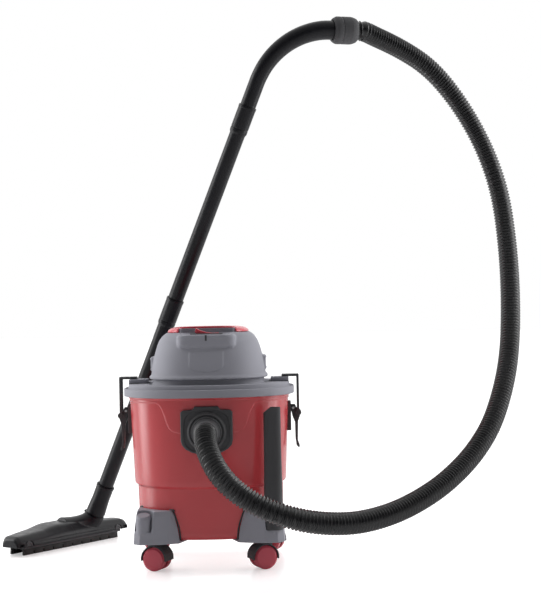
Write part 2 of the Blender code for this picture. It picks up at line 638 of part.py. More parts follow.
# ================================================================ inlet, cuff and hose
def make_inlet(base):
    wall = -tank_half(INLET_Z)
    face = wall - PLATE_PROUD
    arc = [(PLATE_HALF_X * math.cos(a), -PLATE_BOTTOM * math.sin(a) * 0.62 - PLATE_BOTTOM * 0.38)
           for a in (math.pi * k / 10 for k in range(11))]
    crown = [(-PLATE_HALF_X, PLATE_TOP - 0.010), (-PLATE_HALF_X + 0.004, PLATE_TOP - 0.0065),
             (-0.0240, PLATE_TOP - 0.0055), (-0.0200, PLATE_TOP), (0.0200, PLATE_TOP),
             (0.0240, PLATE_TOP - 0.0055), (PLATE_HALF_X - 0.004, PLATE_TOP - 0.0065),
             (PLATE_HALF_X, PLATE_TOP - 0.010)]
    outline = [(x, INLET_Z + z) for x, z in arc + crown]
    middle = Vector((0, 0, INLET_Z))
    rings = []
    for y, shrink in ((wall + 0.012, 0.0), (face + PLATE_BEVEL, 0.0), (face, PLATE_BEVEL)):
        points = [Vector((x, y, z)) for x, z in outline]
        for point in points:
            flat = Vector((point.x, 0, point.z)) - middle
            point -= flat.normalized() * shrink
        rings.append(points)
    plate = put("inlet_plate", loft(rings), trim_black(), base)
    shape_with(plate, "DIFFERENCE", "cut_plate_seat", tank_space(GAP), base)
    shape_with(plate, "DIFFERENCE", "cut_plate_bore",
               rod(SOCKET_R + GAP, (0, -0.5 * RIM_HALF, INLET_Z), (0, -1.5 * RIM_HALF, INLET_Z), 28), base)

    lie = (math.radians(90), 0, 0)                       # +Z of a turned piece points to the front
    tail = wall + SOCKET_TAIL
    seat = PLATE_PROUD + SOCKET_TAIL + GAP
    socket = [(SOCKET_BORE_R, 0.0), (SOCKET_R, 0.0), (SOCKET_R, seat), (SOCKET_FLANGE_R, seat),
              (SOCKET_FLANGE_R, seat + 0.0045), (SOCKET_FLANGE_R - 0.0015, seat + 0.0060),
              (0.0265, seat + 0.0060), (0.0258, seat + 0.0115), (SOCKET_BORE_R, seat + 0.0115)]
    put("inlet_socket", turned(socket, 28, True), trim_black(), base, (0, tail, INLET_Z), lie)

    start = seat - 0.020
    lip = seat + 0.0115 + RUN
    end = seat + CUFF_PROUD
    cuff_r = SOCKET_BORE_R - RUN
    cuff = [(CUFF_BORE_R, start), (cuff_r, start), (cuff_r, lip), (cuff_r + 0.0022, lip),
            (cuff_r + 0.0022, lip + 0.0045), (cuff_r - 0.0004, lip + 0.0060),
            (HOSE_OD / 2 + 0.0008, end), (CUFF_BORE_R, end)]
    put("hose_cuff", turned(cuff, 28, True), trim_black(), base, (0, tail, INLET_Z), lie)
    return Vector((0, tail - end - GAP, INLET_Z))


def make_hose(base, mouth, coupling_end):
    """A plain tube on the hose's route: its ends meet the cuff and the coupling."""
    first = mouth + Vector((0, -HOSE_LEAD, 0))
    last = coupling_end + HANDLE_OUT * HOSE_LEAD
    points = [mouth] + smooth_route([first] + HOSE_ROUTE + [last], HOSE_STEP) + [coupling_end]
    curve = bpy.data.curves.new("hose", "CURVE")
    curve.dimensions = "3D"
    curve.bevel_depth = HOSE_OD / 2
    curve.bevel_resolution = 3
    curve.use_fill_caps = True
    spline = curve.splines.new("POLY")
    spline.points.add(len(points) - 1)
    for knot, point in zip(spline.points, points):
        knot.co = (*point, 1.0)
    curve.materials.append(hose_black())
    made = bpy.data.objects.new("hose", curve)
    bpy.context.scene.collection.objects.link(made)
    made.parent = base


# ================================================================ feet and casters
def foot_rings(side, end, with_peg):
    """Plan outlines of one corner foot, from its underside to its top."""
    corner = math.atan2(end, side)
    swing = side * end

    def inner(reach, z, span):
        angles = [corner + swing * span * (k / 4 - 1) for k in range(9)]
        return [Vector((reach(a) * math.cos(a), reach(a) * math.sin(a), z)) for a in angles]

    def outer(grow, z, span):
        near, far = FOOT_HALF * grow, (FOOT_HALF + FOOT_REACH) * grow
        lead = tank_reach(corner - FOOT_SPAN, max(z, TANK_BOTTOM_Z)) * math.sin(math.pi / 4 - span)
        points = [(near - 0.004, lead), (near, 0.57 * near), (near, 0.79 * near),
                  (near - 0.002, far - 0.012), (near - 0.013, far - 0.001), (0.73 * near, far),
                  (0.53 * near, far - 0.005), (lead, far - 0.013)]
        return [Vector((side * x, end * y, z)) for x, y in points]

    def one(z, span, grow, under):
        reach = (lambda a: FOOT_INNER_R) if under else (lambda a: tank_reach(a, max(z, TANK_BOTTOM_Z)) + GAP)
        return inner(reach, z, span) + outer(grow, z, span)[::-1]

    under_z = TANK_BOTTOM_Z - GAP
    top = FOOT_TOP_Z if with_peg else FOOT_TOP_Z - REAR_FOOT_DROP
    return [one(FOOT_BOTTOM_Z, FOOT_SPAN, 1.0, True), one(under_z, FOOT_SPAN, 0.998, True),
            one(under_z, FOOT_SPAN, 0.998, False), one(NOTCH_FLOOR_Z + 0.004, FOOT_SPAN * 0.94, 0.985, False),
            one(top - 0.008, FOOT_SPAN * 0.82, 0.962, False), one(top, FOOT_SPAN * 0.74, 0.945, False)]


def make_foot(base, name, side, end):
    with_peg = end < 0
    foot = put("foot_" + name, loft(foot_rings(side, end, with_peg)), lid_grey(), base)
    stem = (side * CASTER_X, end * CASTER_Y)
    shape_with(foot, "DIFFERENCE", "cut_stem_" + name,
               rod(STEM_R + RUN, (*stem, FOOT_BOTTOM_Z - 0.01), (*stem, FOOT_BOTTOM_Z + STEM_DEPTH + GAP), 12), base)
    if with_peg:
        peg = (side * PEG_X, PEG_Y)
        shape_with(foot, "DIFFERENCE", "cut_notch_" + name,
                   rod(TOOL_R + NOTCH_ROOM, (*peg, NOTCH_FLOOR_Z), (*peg, 2 * FOOT_TOP_Z), 24), base)
        shape = turned([(PEG_R, NOTCH_FLOOR_Z - 0.004), (PEG_R, PEG_TOP_Z - 0.006),
                        (PEG_R - 0.0022, PEG_TOP_Z)], 20)
        for vertex in shape.verts:
            if vertex.co.z > NOTCH_FLOOR_Z:
                vertex.co.z += PEG_SLANT * vertex.co.y
        shape_with(foot, "UNION", "add_peg_" + name, shape, base, (*peg, 0))


def wheel_shape(side):
    """A solid twin-caster wheel about X, with a blind bore on its inner face."""
    near = WEB_HALF + WHEEL_SIDE_GAP
    far = near + WHEEL_WIDTH
    profile = [(0, far - 0.0040), (AXLE_R + RUN / 2, far - 0.0040), (AXLE_R + RUN / 2, near),
               (WHEEL_R, near), (WHEEL_R, far - 0.0028), (WHEEL_R - 0.0030, far - 0.0006), (0, far)]
    shape = turned(profile, 18)
    shape.transform(Matrix.Rotation(side * math.pi / 2, 4, "Y"))
    return shape


def make_caster(base, name, side, end, yaw):
    swivel = frame("swivel_" + name, (side * CASTER_X, end * CASTER_Y, 0), (0, 0, yaw), base)
    hub = (0, -CASTER_TRAIL, WHEEL_R)
    hood_in = WHEEL_R + HOOD_GAP
    hood_out = hood_in + HOOD_WALL
    half = WEB_HALF + WHEEL_SIDE_GAP + WHEEL_WIDTH - 0.0006
    arch = [(hood_out * math.cos(a), hood_out * math.sin(a))
            for a in (math.radians(-8 + 196 * k / 12) for k in range(13))]
    outline = [(y - CASTER_TRAIL, z + WHEEL_R) for y, z in arch]
    hood = put("caster_hood_" + name, bar(outline, half, "X"), trim_black(), swivel)
    stem = turned([(COLLAR_R, 2 * WHEEL_R - 0.0035), (COLLAR_R, FOOT_BOTTOM_Z - GAP),
                   (STEM_R, FOOT_BOTTOM_Z - GAP), (STEM_R, FOOT_BOTTOM_Z + STEM_DEPTH)], 12)
    shape_with(hood, "UNION", "add_stem_" + name, stem, swivel)
    for hand, mark in ((-1, "l"), (1, "r")):
        shape_with(hood, "DIFFERENCE", f"cut_wheel_{name}_{mark}",
                   rod(hood_in, (hand * WEB_HALF, *hub[1:]), (hand * 0.03, *hub[1:]), 22), swivel)
    shape_with(hood, "UNION", "add_hub_" + name,
               rod(HUB_R, (-WEB_HALF - 0.0006, *hub[1:]), (WEB_HALF + 0.0006, *hub[1:]), 12), swivel)
    shape_with(hood, "DIFFERENCE", "cut_axle_" + name,
               rod(AXLE_R + GAP, (-0.03, *hub[1:]), (0.03, *hub[1:]), 12), swivel)
    reach = half - 0.0040
    put("caster_axle_" + name, rod(AXLE_R, (-reach, 0, 0), (reach, 0, 0), 12), steel(), swivel, hub)
    for hand, mark in ((-1, "l"), (1, "r")):
        put(f"caster_wheel_{name}_{mark}", wheel_shape(hand), wheel_red(), swivel, hub)


# ================================================================ side latches
def make_latch(base, name, side):
    """One over-centre latch, drawn on the right and turned half round for the left."""
    turn = 0 if side > 0 else math.pi
    mount = frame("latch_" + name, (0, 0, 0), (0, 0, turn), base)
    out, up = LATCH_PIVOT
    link_out, link_up = out + LATCH_LINK[0], up + LATCH_LINK[1]
    seat = out - 0.0042

    plate = put("latch_plate_" + name, block((0.83 * TANK_TOP_HALF, -PLATE_LATCH_HALF_Y, up - PLATE_LATCH_LOW),
                      (seat, PLATE_LATCH_HALF_Y, up + PLATE_LATCH_HIGH)), trim_black(), mount)
    ear = [(seat - 0.002, up - 0.0065), (out + 0.003, up - 0.0065), (out + 0.005, up - 0.003),
           (out + 0.005, up + 0.003), (out + 0.003, up + 0.0065), (seat - 0.002, up + 0.0065)]
    shape_with(plate, "UNION", "add_ear_plate_" + name, bar(ear, 0.0035), mount)
    shape_with(plate, "DIFFERENCE", "cut_latch_seat_" + name, tank_space(GAP), mount)
    shape_with(plate, "DIFFERENCE", "cut_latch_pin_" + name,
               rod(LATCH_PIN_R + GAP, (out, -0.05, up), (out, 0.05, up), 12), mount)
    put("latch_pin_" + name, rod(LATCH_PIN_R, (0, -LEVER_HALF, 0), (0, LEVER_HALF, 0), 12), steel(), mount,
        (out, 0, up))

    tail = -LEVER_LENGTH
    lever_outline = [(-0.0038, 0.0), (-0.0027, 0.0027), (0.0, 0.0038), (0.0105, -0.0020),
                     (0.0138, -0.0075), (0.0120, -0.0140), (0.0085, -0.0240), (0.0075, tail + 0.014),
                     (0.0110, tail + 0.003), (0.0095, tail), (0.0050, tail + 0.004),
                     (0.0035, tail + 0.016), (0.0030, -0.0260), (-0.0015, -0.0150), (-0.0038, -0.0040)]
    lever = put("latch_lever_" + name, bar(lever_outline, LEVER_HALF), trim_black(), mount, (out, 0, up))
    shape_with(lever, "DIFFERENCE", "cut_lever_slot_" + name,
               rod(0.0088, (out, -0.0042, up), (out, 0.0042, up), 20), mount)
    shape_with(lever, "DIFFERENCE", "cut_lever_pin_" + name,
               rod(LATCH_PIN_R + GAP, (out, -0.05, up), (out, 0.05, up), 12), mount)
    shape_with(lever, "UNION", "add_trunnion_" + name,
               rod(TRUNNION_R, (link_out, -LEVER_HALF - TRUNNION_PROUD, link_up),
                   (link_out, LEVER_HALF + TRUNNION_PROUD, link_up), 12), mount)

    arm_z = PAD_Z + GAP
    rise = arm_z - link_up
    inner = LEVER_HALF + HOOK_SIDE_GAP
    outer = inner + HOOK_LEG
    hook = put("latch_hook_" + name,
               block((-0.0020, -outer, -0.0045), (0.0020, outer, rise + HOOK_RISE)), trim_black(),
               mount, (link_out, 0, link_up))
    shape_with(hook, "UNION", "add_hook_eye_" + name,
               rod(HOOK_EYE_R, (link_out, 0.0002 - outer, link_up), (link_out, outer - 0.0002, link_up), 14),
               mount)
    shape_with(hook, "DIFFERENCE", "cut_hook_window_" + name,
               block((link_out - 0.01, -inner, link_up - 0.02), (link_out + 0.01, inner, arm_z - 0.006)), mount)
    lip = SLOT_INNER + 0.0011
    shape_with(hook, "UNION", "add_hook_arm_" + name,
               block((lip - 0.0001, -outer, arm_z), (link_out + 0.0019, outer, arm_z + HOOK_RISE)), mount)
    shape_with(hook, "UNION", "add_hook_lip_" + name,
               block((lip, 0.0005 - outer, PAD_Z - LIP_DEPTH),
                     (lip + LIP_THICK, outer - 0.0005, PAD_Z + 0.003)), mount)
    shape_with(hook, "DIFFERENCE", "cut_hook_pin_" + name,
               rod(TRUNNION_R + GAP, (link_out, -0.05, link_up), (link_out, 0.05, link_up), 12), mount)


# ================================================================ crevice tool
def make_crevice_tool(base):
    bottom = NOTCH_FLOOR_Z + GAP
    levels = [(TOOL_R, TOOL_R, 0.0), (TOOL_R, TOOL_R, 0.22 * TOOL_LENGTH), (0.0158, 0.0125, 0.41 * TOOL_LENGTH),
              (TOOL_TIP_HALF_X, 0.0088, 0.60 * TOOL_LENGTH), (TOOL_TIP_HALF_X, TOOL_TIP_HALF_Y, TOOL_LENGTH)]
    skin = [ring(x, y, 2.2, bottom + z, 20) for x, y, z in levels]
    core = [ring(x - TOOL_WALL, y - TOOL_WALL, 2.2, bottom + z, 20) for x, y, z in levels]
    for rim in (skin[-1], core[-1]):
        for point in rim:
            point.z -= TOOL_SLANT * max(0.0, -point.x - 0.002)
    put("crevice_tool", loft(skin + core[::-1], True), trim_black(), base, (PEG_X, PEG_Y, 0))


# ================================================================ wand
def make_wand(base):
    stand = frame("wand_axis", WAND_FOOT, turn_to(WAND_AXIS).to_euler(), base)
    bore = TUBE_R - TUBE_WALL
    socket_bore = TUBE_R + GAP
    socket_r = socket_bore + SOCKET_WALL
    joint = WAND_LENGTH * WAND_SPLIT
    top = WAND_LENGTH

    def tube(name, low, high):
        """A tube whose upper end widens into the socket of the next one."""
        step = high - SOCKET_LENGTH
        profile = [(bore, low), (TUBE_R, low), (TUBE_R, step - 0.004), (socket_r, step),
                   (socket_r, high), (socket_bore, high), (socket_bore, high - INSERT_LENGTH - GAP),
                   (bore, high - INSERT_LENGTH - GAP)]
        put(name, turned(profile, 24, True), trim_black(), stand)

    tube("tube_lower", NECK_LENGTH - INSERT_LENGTH, joint)
    tube("tube_upper", joint - INSERT_LENGTH, top)

    neck_floor = NECK_LENGTH - INSERT_LENGTH - GAP
    neck = [(bore, 0.0005), (DUCT_R - 0.0012, 0.0005), (socket_r + 0.0012, 0.010), (socket_r, 0.020),
            (socket_r, NECK_LENGTH), (socket_bore, NECK_LENGTH), (socket_bore, neck_floor), (bore, neck_floor)]
    put("nozzle_neck", turned(neck, 24, True), trim_black(), stand)

    path = [WAND_HEAD - WAND_AXIS * INSERT_LENGTH, WAND_HEAD, WAND_HEAD + WAND_AXIS * HANDLE_STRAIGHT]
    total = WAND_AXIS.angle(HANDLE_OUT)
    hinge = WAND_AXIS.cross(HANDLE_OUT).normalized()
    place, steps = path[-1].copy(), 8
    chord = 2 * HANDLE_BEND_R * math.sin(total / steps / 2)
    for step in range(steps):
        place = place + Matrix.Rotation(total / steps * (step + 0.5), 3, hinge) @ WAND_AXIS * chord
        path.append(place.copy())
    path.append(place + HANDLE_OUT * 0.012)
    grow = [TUBE_R + (HANDLE_END_R - TUBE_R) * max(0, k - 3) / (len(path) - 4) for k in range(len(path))]
    skin = swept(path, grow, 18)
    core = swept(path, [r - TUBE_WALL for r in grow], 18)
    put("handle_tube", loft(skin + core[::-1], True), trim_black(), base)

    mouth = path[-1]
    grip = HANDLE_END_R + RUN
    coupling = [(grip, -0.010), (grip + 0.0035, -0.010), (COUPLING_R, -0.004), (COUPLING_R, 0.026),
                (COUPLING_R - 0.003, COUPLING_LENGTH - 0.012), (HOSE_OD / 2 + 0.0015, COUPLING_LENGTH - 0.010),
                (0.0155, COUPLING_LENGTH - 0.010), (0.0155, GAP + 0.0005), (grip, GAP + 0.0005)]
    put("hose_coupling", turned(coupling, 28, True), trim_black(), base, mouth, turn_to(HANDLE_OUT).to_euler())
    return mouth + HANDLE_OUT * (COUPLING_LENGTH - 0.010 + GAP)


# ================================================================ floor nozzle
def make_nozzle(base):
    pivot = frame("nozzle_pivot", WAND_FOOT, (0, 0, NOZZLE_HEADING), base)
    to_local = Matrix.Rotation(-NOZZLE_HEADING, 3, "Z")
    middle = to_local @ (Vector((*NOZZLE_MIDDLE, 0)) - WAND_FOOT)

    def section(along, front, rear, low, high):
        near, far = -NOZZLE_WIDTH / 2 * front, NOZZLE_WIDTH / 2 * rear
        across, rise = far - near, high - low
        points = [(near, low), (far, low), (far, low + 0.55 * rise), (far - 0.14 * across, high),
                  (near + 0.22 * across, high), (near, low + 0.45 * rise)]
        return [Vector((along, v, z)) + middle for v, z in points]

    reach = NOZZLE_LENGTH / 2
    floor = NOZZLE_FLOOR_Z
    stations = [(-1.00, 0.93, 0.05, NOZZLE_END_Z - 0.006), (-0.93, 1.00, 0.35, NOZZLE_END_Z),
                (-0.45, 1.00, 0.86, 0.0410), (-0.20, 1.00, 1.00, NOZZLE_MIDDLE_Z),
                (0.20, 1.00, 1.00, NOZZLE_MIDDLE_Z), (0.45, 1.00, 0.86, 0.0410),
                (0.93, 1.00, 0.35, NOZZLE_END_Z), (1.00, 0.93, 0.05, NOZZLE_END_Z - 0.006)]
    rings = [section(reach * a, front, rear, floor, top) for a, front, rear, top in stations]
    body = put("nozzle_body", loft(rings), trim_black(), pivot)
    axis = to_local @ WAND_AXIS
    start, knee = middle + Vector((0, 0, floor + 0.014)), -DUCT_RISE * axis
    stop = -GAP * axis
    path = [(1 - t) ** 2 * start + 2 * t * (1 - t) * knee + t * t * stop for t in (k / 8 for k in range(9))]
    path.append(stop + 0.01 * axis)
    duct = swept(path, [DUCT_R * (1.25 - 0.25 * k / 8) for k in range(10)], 20)[:-1]
    duct[-1] = [point - axis * (point - stop).dot(axis) for point in duct[-1]]
    shape_with(body, "UNION", "add_duct", loft(duct), pivot)
    shape_with(body, "DIFFERENCE", "cut_duct_under",
               block((-reach, -NOZZLE_WIDTH, -0.1), (reach, NOZZLE_WIDTH, floor)), pivot, middle)
    shape_with(body, "DIFFERENCE", "cut_duct", loft(swept(path, [TUBE_R - TUBE_WALL] * 10, 16)), pivot)
    shape_with(body, "DIFFERENCE", "cut_mouth",
               block((0.016 - reach, -0.28 * NOZZLE_WIDTH, -0.1),
                     (reach - 0.016, 0.16 * NOZZLE_WIDTH, floor + 0.012)), pivot, middle)

    sole_top = floor - GAP
    sole_x, sole_near, sole_far = reach - 0.020, 0.004 - NOZZLE_WIDTH / 2, 0.0115
    hole_x, hole_near, hole_far = reach - 0.034, -0.0175, -0.0030
    levels = [(sole_x, sole_near, sole_far, sole_top), (sole_x, sole_near, sole_far, sole_top - SOLE_THICK),
              (hole_x, hole_near, hole_far, sole_top - SOLE_THICK), (hole_x, hole_near, hole_far, sole_top)]
    rings = [[Vector((x, y, z)) + middle for x, y in ((-u, near), (u, near), (u, far), (-u, far))]
             for u, near, far, z in levels]
    put("nozzle_sole", loft(rings, True), trim_black(), pivot)

    strip_top = sole_top - SOLE_THICK - GAP
    for name, offset in (("squeegee_strip", STRIP_FRONT), ("brush_strip", STRIP_BACK)):
        span = STRIP_LENGTH / 2
        teeth, half_slot, high = [(-span, strip_top), (-span, 0.0)], STRIP_SLOT / 2, STRIP_SLOT_HEIGHT
        for step in range(1, STRIP_PARTS):
            at = -span + STRIP_LENGTH * step / STRIP_PARTS
            teeth += [(at - half_slot, 0.0), (at - half_slot, high), (at + half_slot, high),
                      (at + half_slot, 0.0)]
        teeth += [(span, 0.0), (span, strip_top)]
        shape = loft([[Vector((u, offset + v, z)) + middle for u, z in teeth]
                      for v in (-STRIP_THICK / 2, STRIP_THICK / 2)])
        put(name, shape, seal_rubber(), pivot)


# ================================================================ motor, fan, float and filter
def make_inside(base):
    floor = LID_FLOOR_Z + GAP
    housing_top = floor + HOUSING_HEIGHT
    wall = 0.0020
    housing = [(HOUSING_R, floor), (HOUSING_R, housing_top), (0.0120, housing_top),
               (0.0120, housing_top - wall), (HOUSING_R - wall, housing_top - wall), (HOUSING_R - wall, floor)]
    put("fan_housing", turned(housing, 32, True), inner_plastic(), base)

    seat = housing_top + GAP
    bore = SHAFT_R + RUN
    motor = [(0, seat + 0.020), (bore, seat + 0.020), (bore, seat), (MOTOR_R, seat),
             (MOTOR_R, seat + MOTOR_HEIGHT * 0.62), (MOTOR_R * 0.72, seat + MOTOR_HEIGHT * 0.66),
             (MOTOR_R * 0.66, seat + MOTOR_HEIGHT * 0.94), (MOTOR_R * 0.4, seat + MOTOR_HEIGHT),
             (0, seat + MOTOR_HEIGHT)]
    put("motor", turned(motor, 28), steel(), base)

    fan_low = floor + 0.0045
    put("motor_shaft", turned([(SHAFT_R, fan_low - 0.003), (SHAFT_R, seat + 0.019)], 16), steel(), base)
    fan_bore = SHAFT_R + GAP
    fan = [(fan_bore, fan_low), (FAN_R, fan_low), (FAN_R, fan_low + 0.0015), (FAN_R * 0.45, fan_low + 0.0060),
           (FAN_R * 0.98, fan_low + FAN_HEIGHT - 0.0020), (FAN_R * 0.98, fan_low + FAN_HEIGHT),
           (fan_bore, fan_low + FAN_HEIGHT)]
    put("fan", turned(fan, 28, True), inner_plastic(), base)

    top = LID_UNDER_Z - GAP
    bottom = top - CAGE_DEPTH
    cage = [(CAGE_R - CAGE_WALL, bottom + CAGE_WALL), (CAGE_R - CAGE_WALL, top), (CAGE_R + 0.008, top),
            (CAGE_R + 0.008, top - 0.003), (CAGE_R, top - 0.003), (CAGE_R, bottom)]
    cage = put("float_cage", turned(cage, 28), inner_plastic(), base)
    for step in range(3):
        shape_with(cage, "DIFFERENCE", f"cut_cage_{step}",
                   block((-0.08, -0.011, bottom + 0.010), (0.08, 0.011, top - 0.012)), base,
                   (0, 0, 0), (0, 0, math.radians(60 * step + 10)))
    rest = bottom + CAGE_WALL + GAP + FLOAT_R
    ball = [(FLOAT_R * math.sin(a), FLOAT_R * math.cos(a)) for a in (math.pi * k / 10 for k in range(11))]
    put("float_ball", turned(ball, 18), material("float_white", (0.75, 0.75, 0.72), 0.4), base, (0, 0, rest))

    skin, low = CAGE_R + GAP, bottom - GAP - SLEEVE_THICK
    high = top - 0.003 - GAP
    sleeve = [(skin, low + SLEEVE_THICK), (skin, high), (skin + SLEEVE_THICK, high), (skin + SLEEVE_THICK, low)]
    put("filter_sleeve", turned(sleeve, 28), foam(), base)


# ================================================================ the whole
def centre_on_floor(base):
    """Move the frame's origin under the middle of all pieces but the hose."""
    bpy.context.view_layer.update()
    graph = bpy.context.evaluated_depsgraph_get()
    spots = []
    for made in bpy.context.scene.objects:
        if made.type == "MESH" and not made.hide_render:
            seen = made.evaluated_get(graph)
            spots += [seen.matrix_world @ vertex.co for vertex in seen.to_mesh().vertices]
            seen.to_mesh_clear()
    middle = [(min(p[k] for p in spots) + max(p[k] for p in spots)) / 2 for k in (0, 1)]
    base.location = (-middle[0], -middle[1], 0)


def build():
    for old in list(bpy.data.objects):
        bpy.data.objects.remove(old, do_unlink=True)
    base = frame("vacuum")
    make_tank(base)
    make_lid(base)
    make_motor_cover(base)
    make_top_cap(base)
    make_switch(base)
    mouth = make_inlet(base)
    for name, side, end in (("front_left", -1, -1), ("front_right", 1, -1),
                            ("rear_left", -1, 1), ("rear_right", 1, 1)):
        make_foot(base, name, side, end)
        make_caster(base, name, side, end, CASTER_YAW * side * end)
    for name, side in (("left", -1), ("right", 1)):
        make_lid_pad(base, name, side)
        make_latch(base, name, side)
    make_crevice_tool(base)
    make_hose(base, mouth, make_wand(base))
    make_nozzle(base)
    make_inside(base)
    centre_on_floor(base)


build()
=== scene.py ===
"""Looks of the shop vacuum: finely modelled casings, corrugated hose, wand, nozzle and their finishes.

Metres, +Z up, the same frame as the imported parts.  Pieces are drawn about the tank's upright axis and
moved to it at the end of their making, so every finished object sits at the origin, unturned.
"""
import math

import bmesh
import bpy
from mathutils import Matrix, Vector


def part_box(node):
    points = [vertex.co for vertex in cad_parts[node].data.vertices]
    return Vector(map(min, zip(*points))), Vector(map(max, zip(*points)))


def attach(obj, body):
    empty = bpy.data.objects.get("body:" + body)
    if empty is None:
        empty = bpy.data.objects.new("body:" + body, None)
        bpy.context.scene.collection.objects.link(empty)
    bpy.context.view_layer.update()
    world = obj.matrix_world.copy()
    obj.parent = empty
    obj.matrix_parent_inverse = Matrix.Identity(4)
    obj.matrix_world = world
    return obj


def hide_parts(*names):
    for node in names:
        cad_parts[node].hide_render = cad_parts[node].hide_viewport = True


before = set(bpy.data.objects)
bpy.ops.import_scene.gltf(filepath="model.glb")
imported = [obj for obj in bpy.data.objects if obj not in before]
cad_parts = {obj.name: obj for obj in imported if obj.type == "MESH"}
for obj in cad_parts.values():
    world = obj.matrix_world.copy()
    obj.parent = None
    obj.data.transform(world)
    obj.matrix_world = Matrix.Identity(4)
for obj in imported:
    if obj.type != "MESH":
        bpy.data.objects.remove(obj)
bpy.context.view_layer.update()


def middle_of(node):
    low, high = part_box(node)
    return (low + high) / 2


AXIS = Vector((middle_of("tank").x, middle_of("tank").y, 0))      # foot of the tank's upright axis


def about(node):
    """A node's lowest and highest corner, seen from the tank's axis."""
    low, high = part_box(node)
    return low - AXIS, high - AXIS


# ---------------------------------------------------------------- sizes read from the frame
TANK_LOW, TANK_HIGH = about("tank")
LID_HIGH = about("lid")[1]
CAP_LOW, CAP_HIGH = about("top_cap")
SOCKET_LOW, SOCKET_HIGH = about("inlet_socket")
CUFF_LOW = about("hose_cuff")[0]
TOOL_LOW, TOOL_HIGH = about("crevice_tool")
INLET = Vector(((SOCKET_LOW.x + SOCKET_HIGH.x) / 2, 0, (SOCKET_LOW.z + SOCKET_HIGH.z) / 2))

# ---------------------------------------------------------------- sizes of the moulded shapes
SQUARENESS = 2.4             # tank and lid plan
RIM_HALF = TANK_HIGH.x
LIFT = LID_HIGH.z - 0.3310    # the drawn profiles' heights are for a collar top at 0.3310
HOSE_OD = 0.0385
HOSE_LEAD = 0.0150
RIB_PITCH = 0.0062
RIB_DEPTH = 0.0029
TUBE_R = 0.0150
TUBE_WALL = 0.0017
SOCKET_WALL = 0.0020
GAP = 0.0003
RUN = 0.0006

WAND_FOOT = Vector((-0.2434, 0.2500, 0.0541))
WAND_HEAD = Vector((0.0790, 0.0800, 0.8380))
WAND_AXIS = (WAND_HEAD - WAND_FOOT).normalized()
WAND_LENGTH = (WAND_HEAD - WAND_FOOT).length
HANDLE_OUT = Vector((0.96, 0.27, 0.0)).normalized()
WAND_SPLIT = 0.541
NECK_LENGTH = 0.0640
INSERT_LENGTH = 0.0400
DUCT_R = 0.0190
FRONT_GLOW, BACK_GLOW = 0.03, 0.95      # the studio's brightness in front of and behind the object

# The hose's route, from the cuff's mouth round to the coupling, about the tank's axis.
HOSE_ROUTE = [
    (0.001, -0.226, 0.235), (0.007, -0.252, 0.218), (0.021, -0.278, 0.193),
    (0.046, -0.298, 0.165), (0.085, -0.309, 0.139), (0.135, -0.306, 0.118), (0.190, -0.287, 0.104),
    (0.255, -0.250, 0.099), (0.325, -0.198, 0.110), (0.395, -0.136, 0.137), (0.452, -0.076, 0.173),
    (0.493, -0.028, 0.212), (0.522, 0.012, 0.254), (0.549, 0.060, 0.316), (0.567, 0.108, 0.382),
    (0.578, 0.156, 0.471), (0.581, 0.196, 0.566), (0.574, 0.222, 0.662), (0.556, 0.234, 0.737),
    (0.524, 0.233, 0.809), (0.479, 0.217, 0.876), (0.430, 0.190, 0.924), (0.372, 0.153, 0.955)]


# ================================================================ camera, floor and light
def make_camera():
    camera = bpy.data.cameras.new("view")
    camera.sensor_fit = "VERTICAL"
    camera.sensor_height = 24.0
    camera.lens = 58.5
    holder = bpy.data.objects.new("view", camera)
    bpy.context.scene.collection.objects.link(holder)
    holder.location = AXIS + Vector((0.114, -2.670, 0.444))
    holder.rotation_euler = (math.radians(90.587), math.radians(1.1), 0)
    bpy.context.scene.camera = holder


def area_light(name, at, aim, size, power, tint=(1, 1, 1)):
    data = bpy.data.lights.new(name, "AREA")
    data.shape = "RECTANGLE"
    data.size, data.size_y = size
    data.energy = power
    data.color = tint
    made = bpy.data.objects.new(name, data)
    bpy.context.scene.collection.objects.link(made)
    made.location = AXIS + Vector(at)
    facing = AXIS + Vector(aim) - made.location
    made.rotation_euler = facing.to_track_quat("-Z", "Y").to_euler()


def make_sky():
    """A white backdrop that stays bright behind and beside the object and falls off in front of it."""
    world = bpy.data.worlds.new("studio")
    world.use_nodes = True
    nodes, links = world.node_tree.nodes, world.node_tree.links
    nodes.clear()
    place = nodes.new("ShaderNodeTexCoord")
    split = nodes.new("ShaderNodeSeparateXYZ")
    fall = nodes.new("ShaderNodeMapRange")
    for key, value in zip(("From Min", "From Max", "To Min", "To Max"), (-0.75, 0.35, FRONT_GLOW, BACK_GLOW)):
        fall.inputs[key].default_value = value
    links.new(place.outputs["Generated"], split.inputs[0])
    links.new(split.outputs["Y"], fall.inputs["Value"])
    soft = nodes.new("ShaderNodeBackground")
    links.new(fall.outputs["Result"], soft.inputs["Strength"])
    white = nodes.new("ShaderNodeBackground")
    white.inputs["Strength"].default_value = 1.0
    for back in (soft, white):
        back.inputs["Color"].default_value = (1.0, 1.0, 1.0, 1.0)
    path = nodes.new("ShaderNodeLightPath")
    mix = nodes.new("ShaderNodeMixShader")
    links.new(path.outputs["Is Camera Ray"], mix.inputs[0])
    links.new(soft.outputs[0], mix.inputs[1])
    links.new(white.outputs[0], mix.inputs[2])
    out = nodes.new("ShaderNodeOutputWorld")
    links.new(mix.outputs[0], out.inputs["Surface"])
    bpy.context.scene.world = world


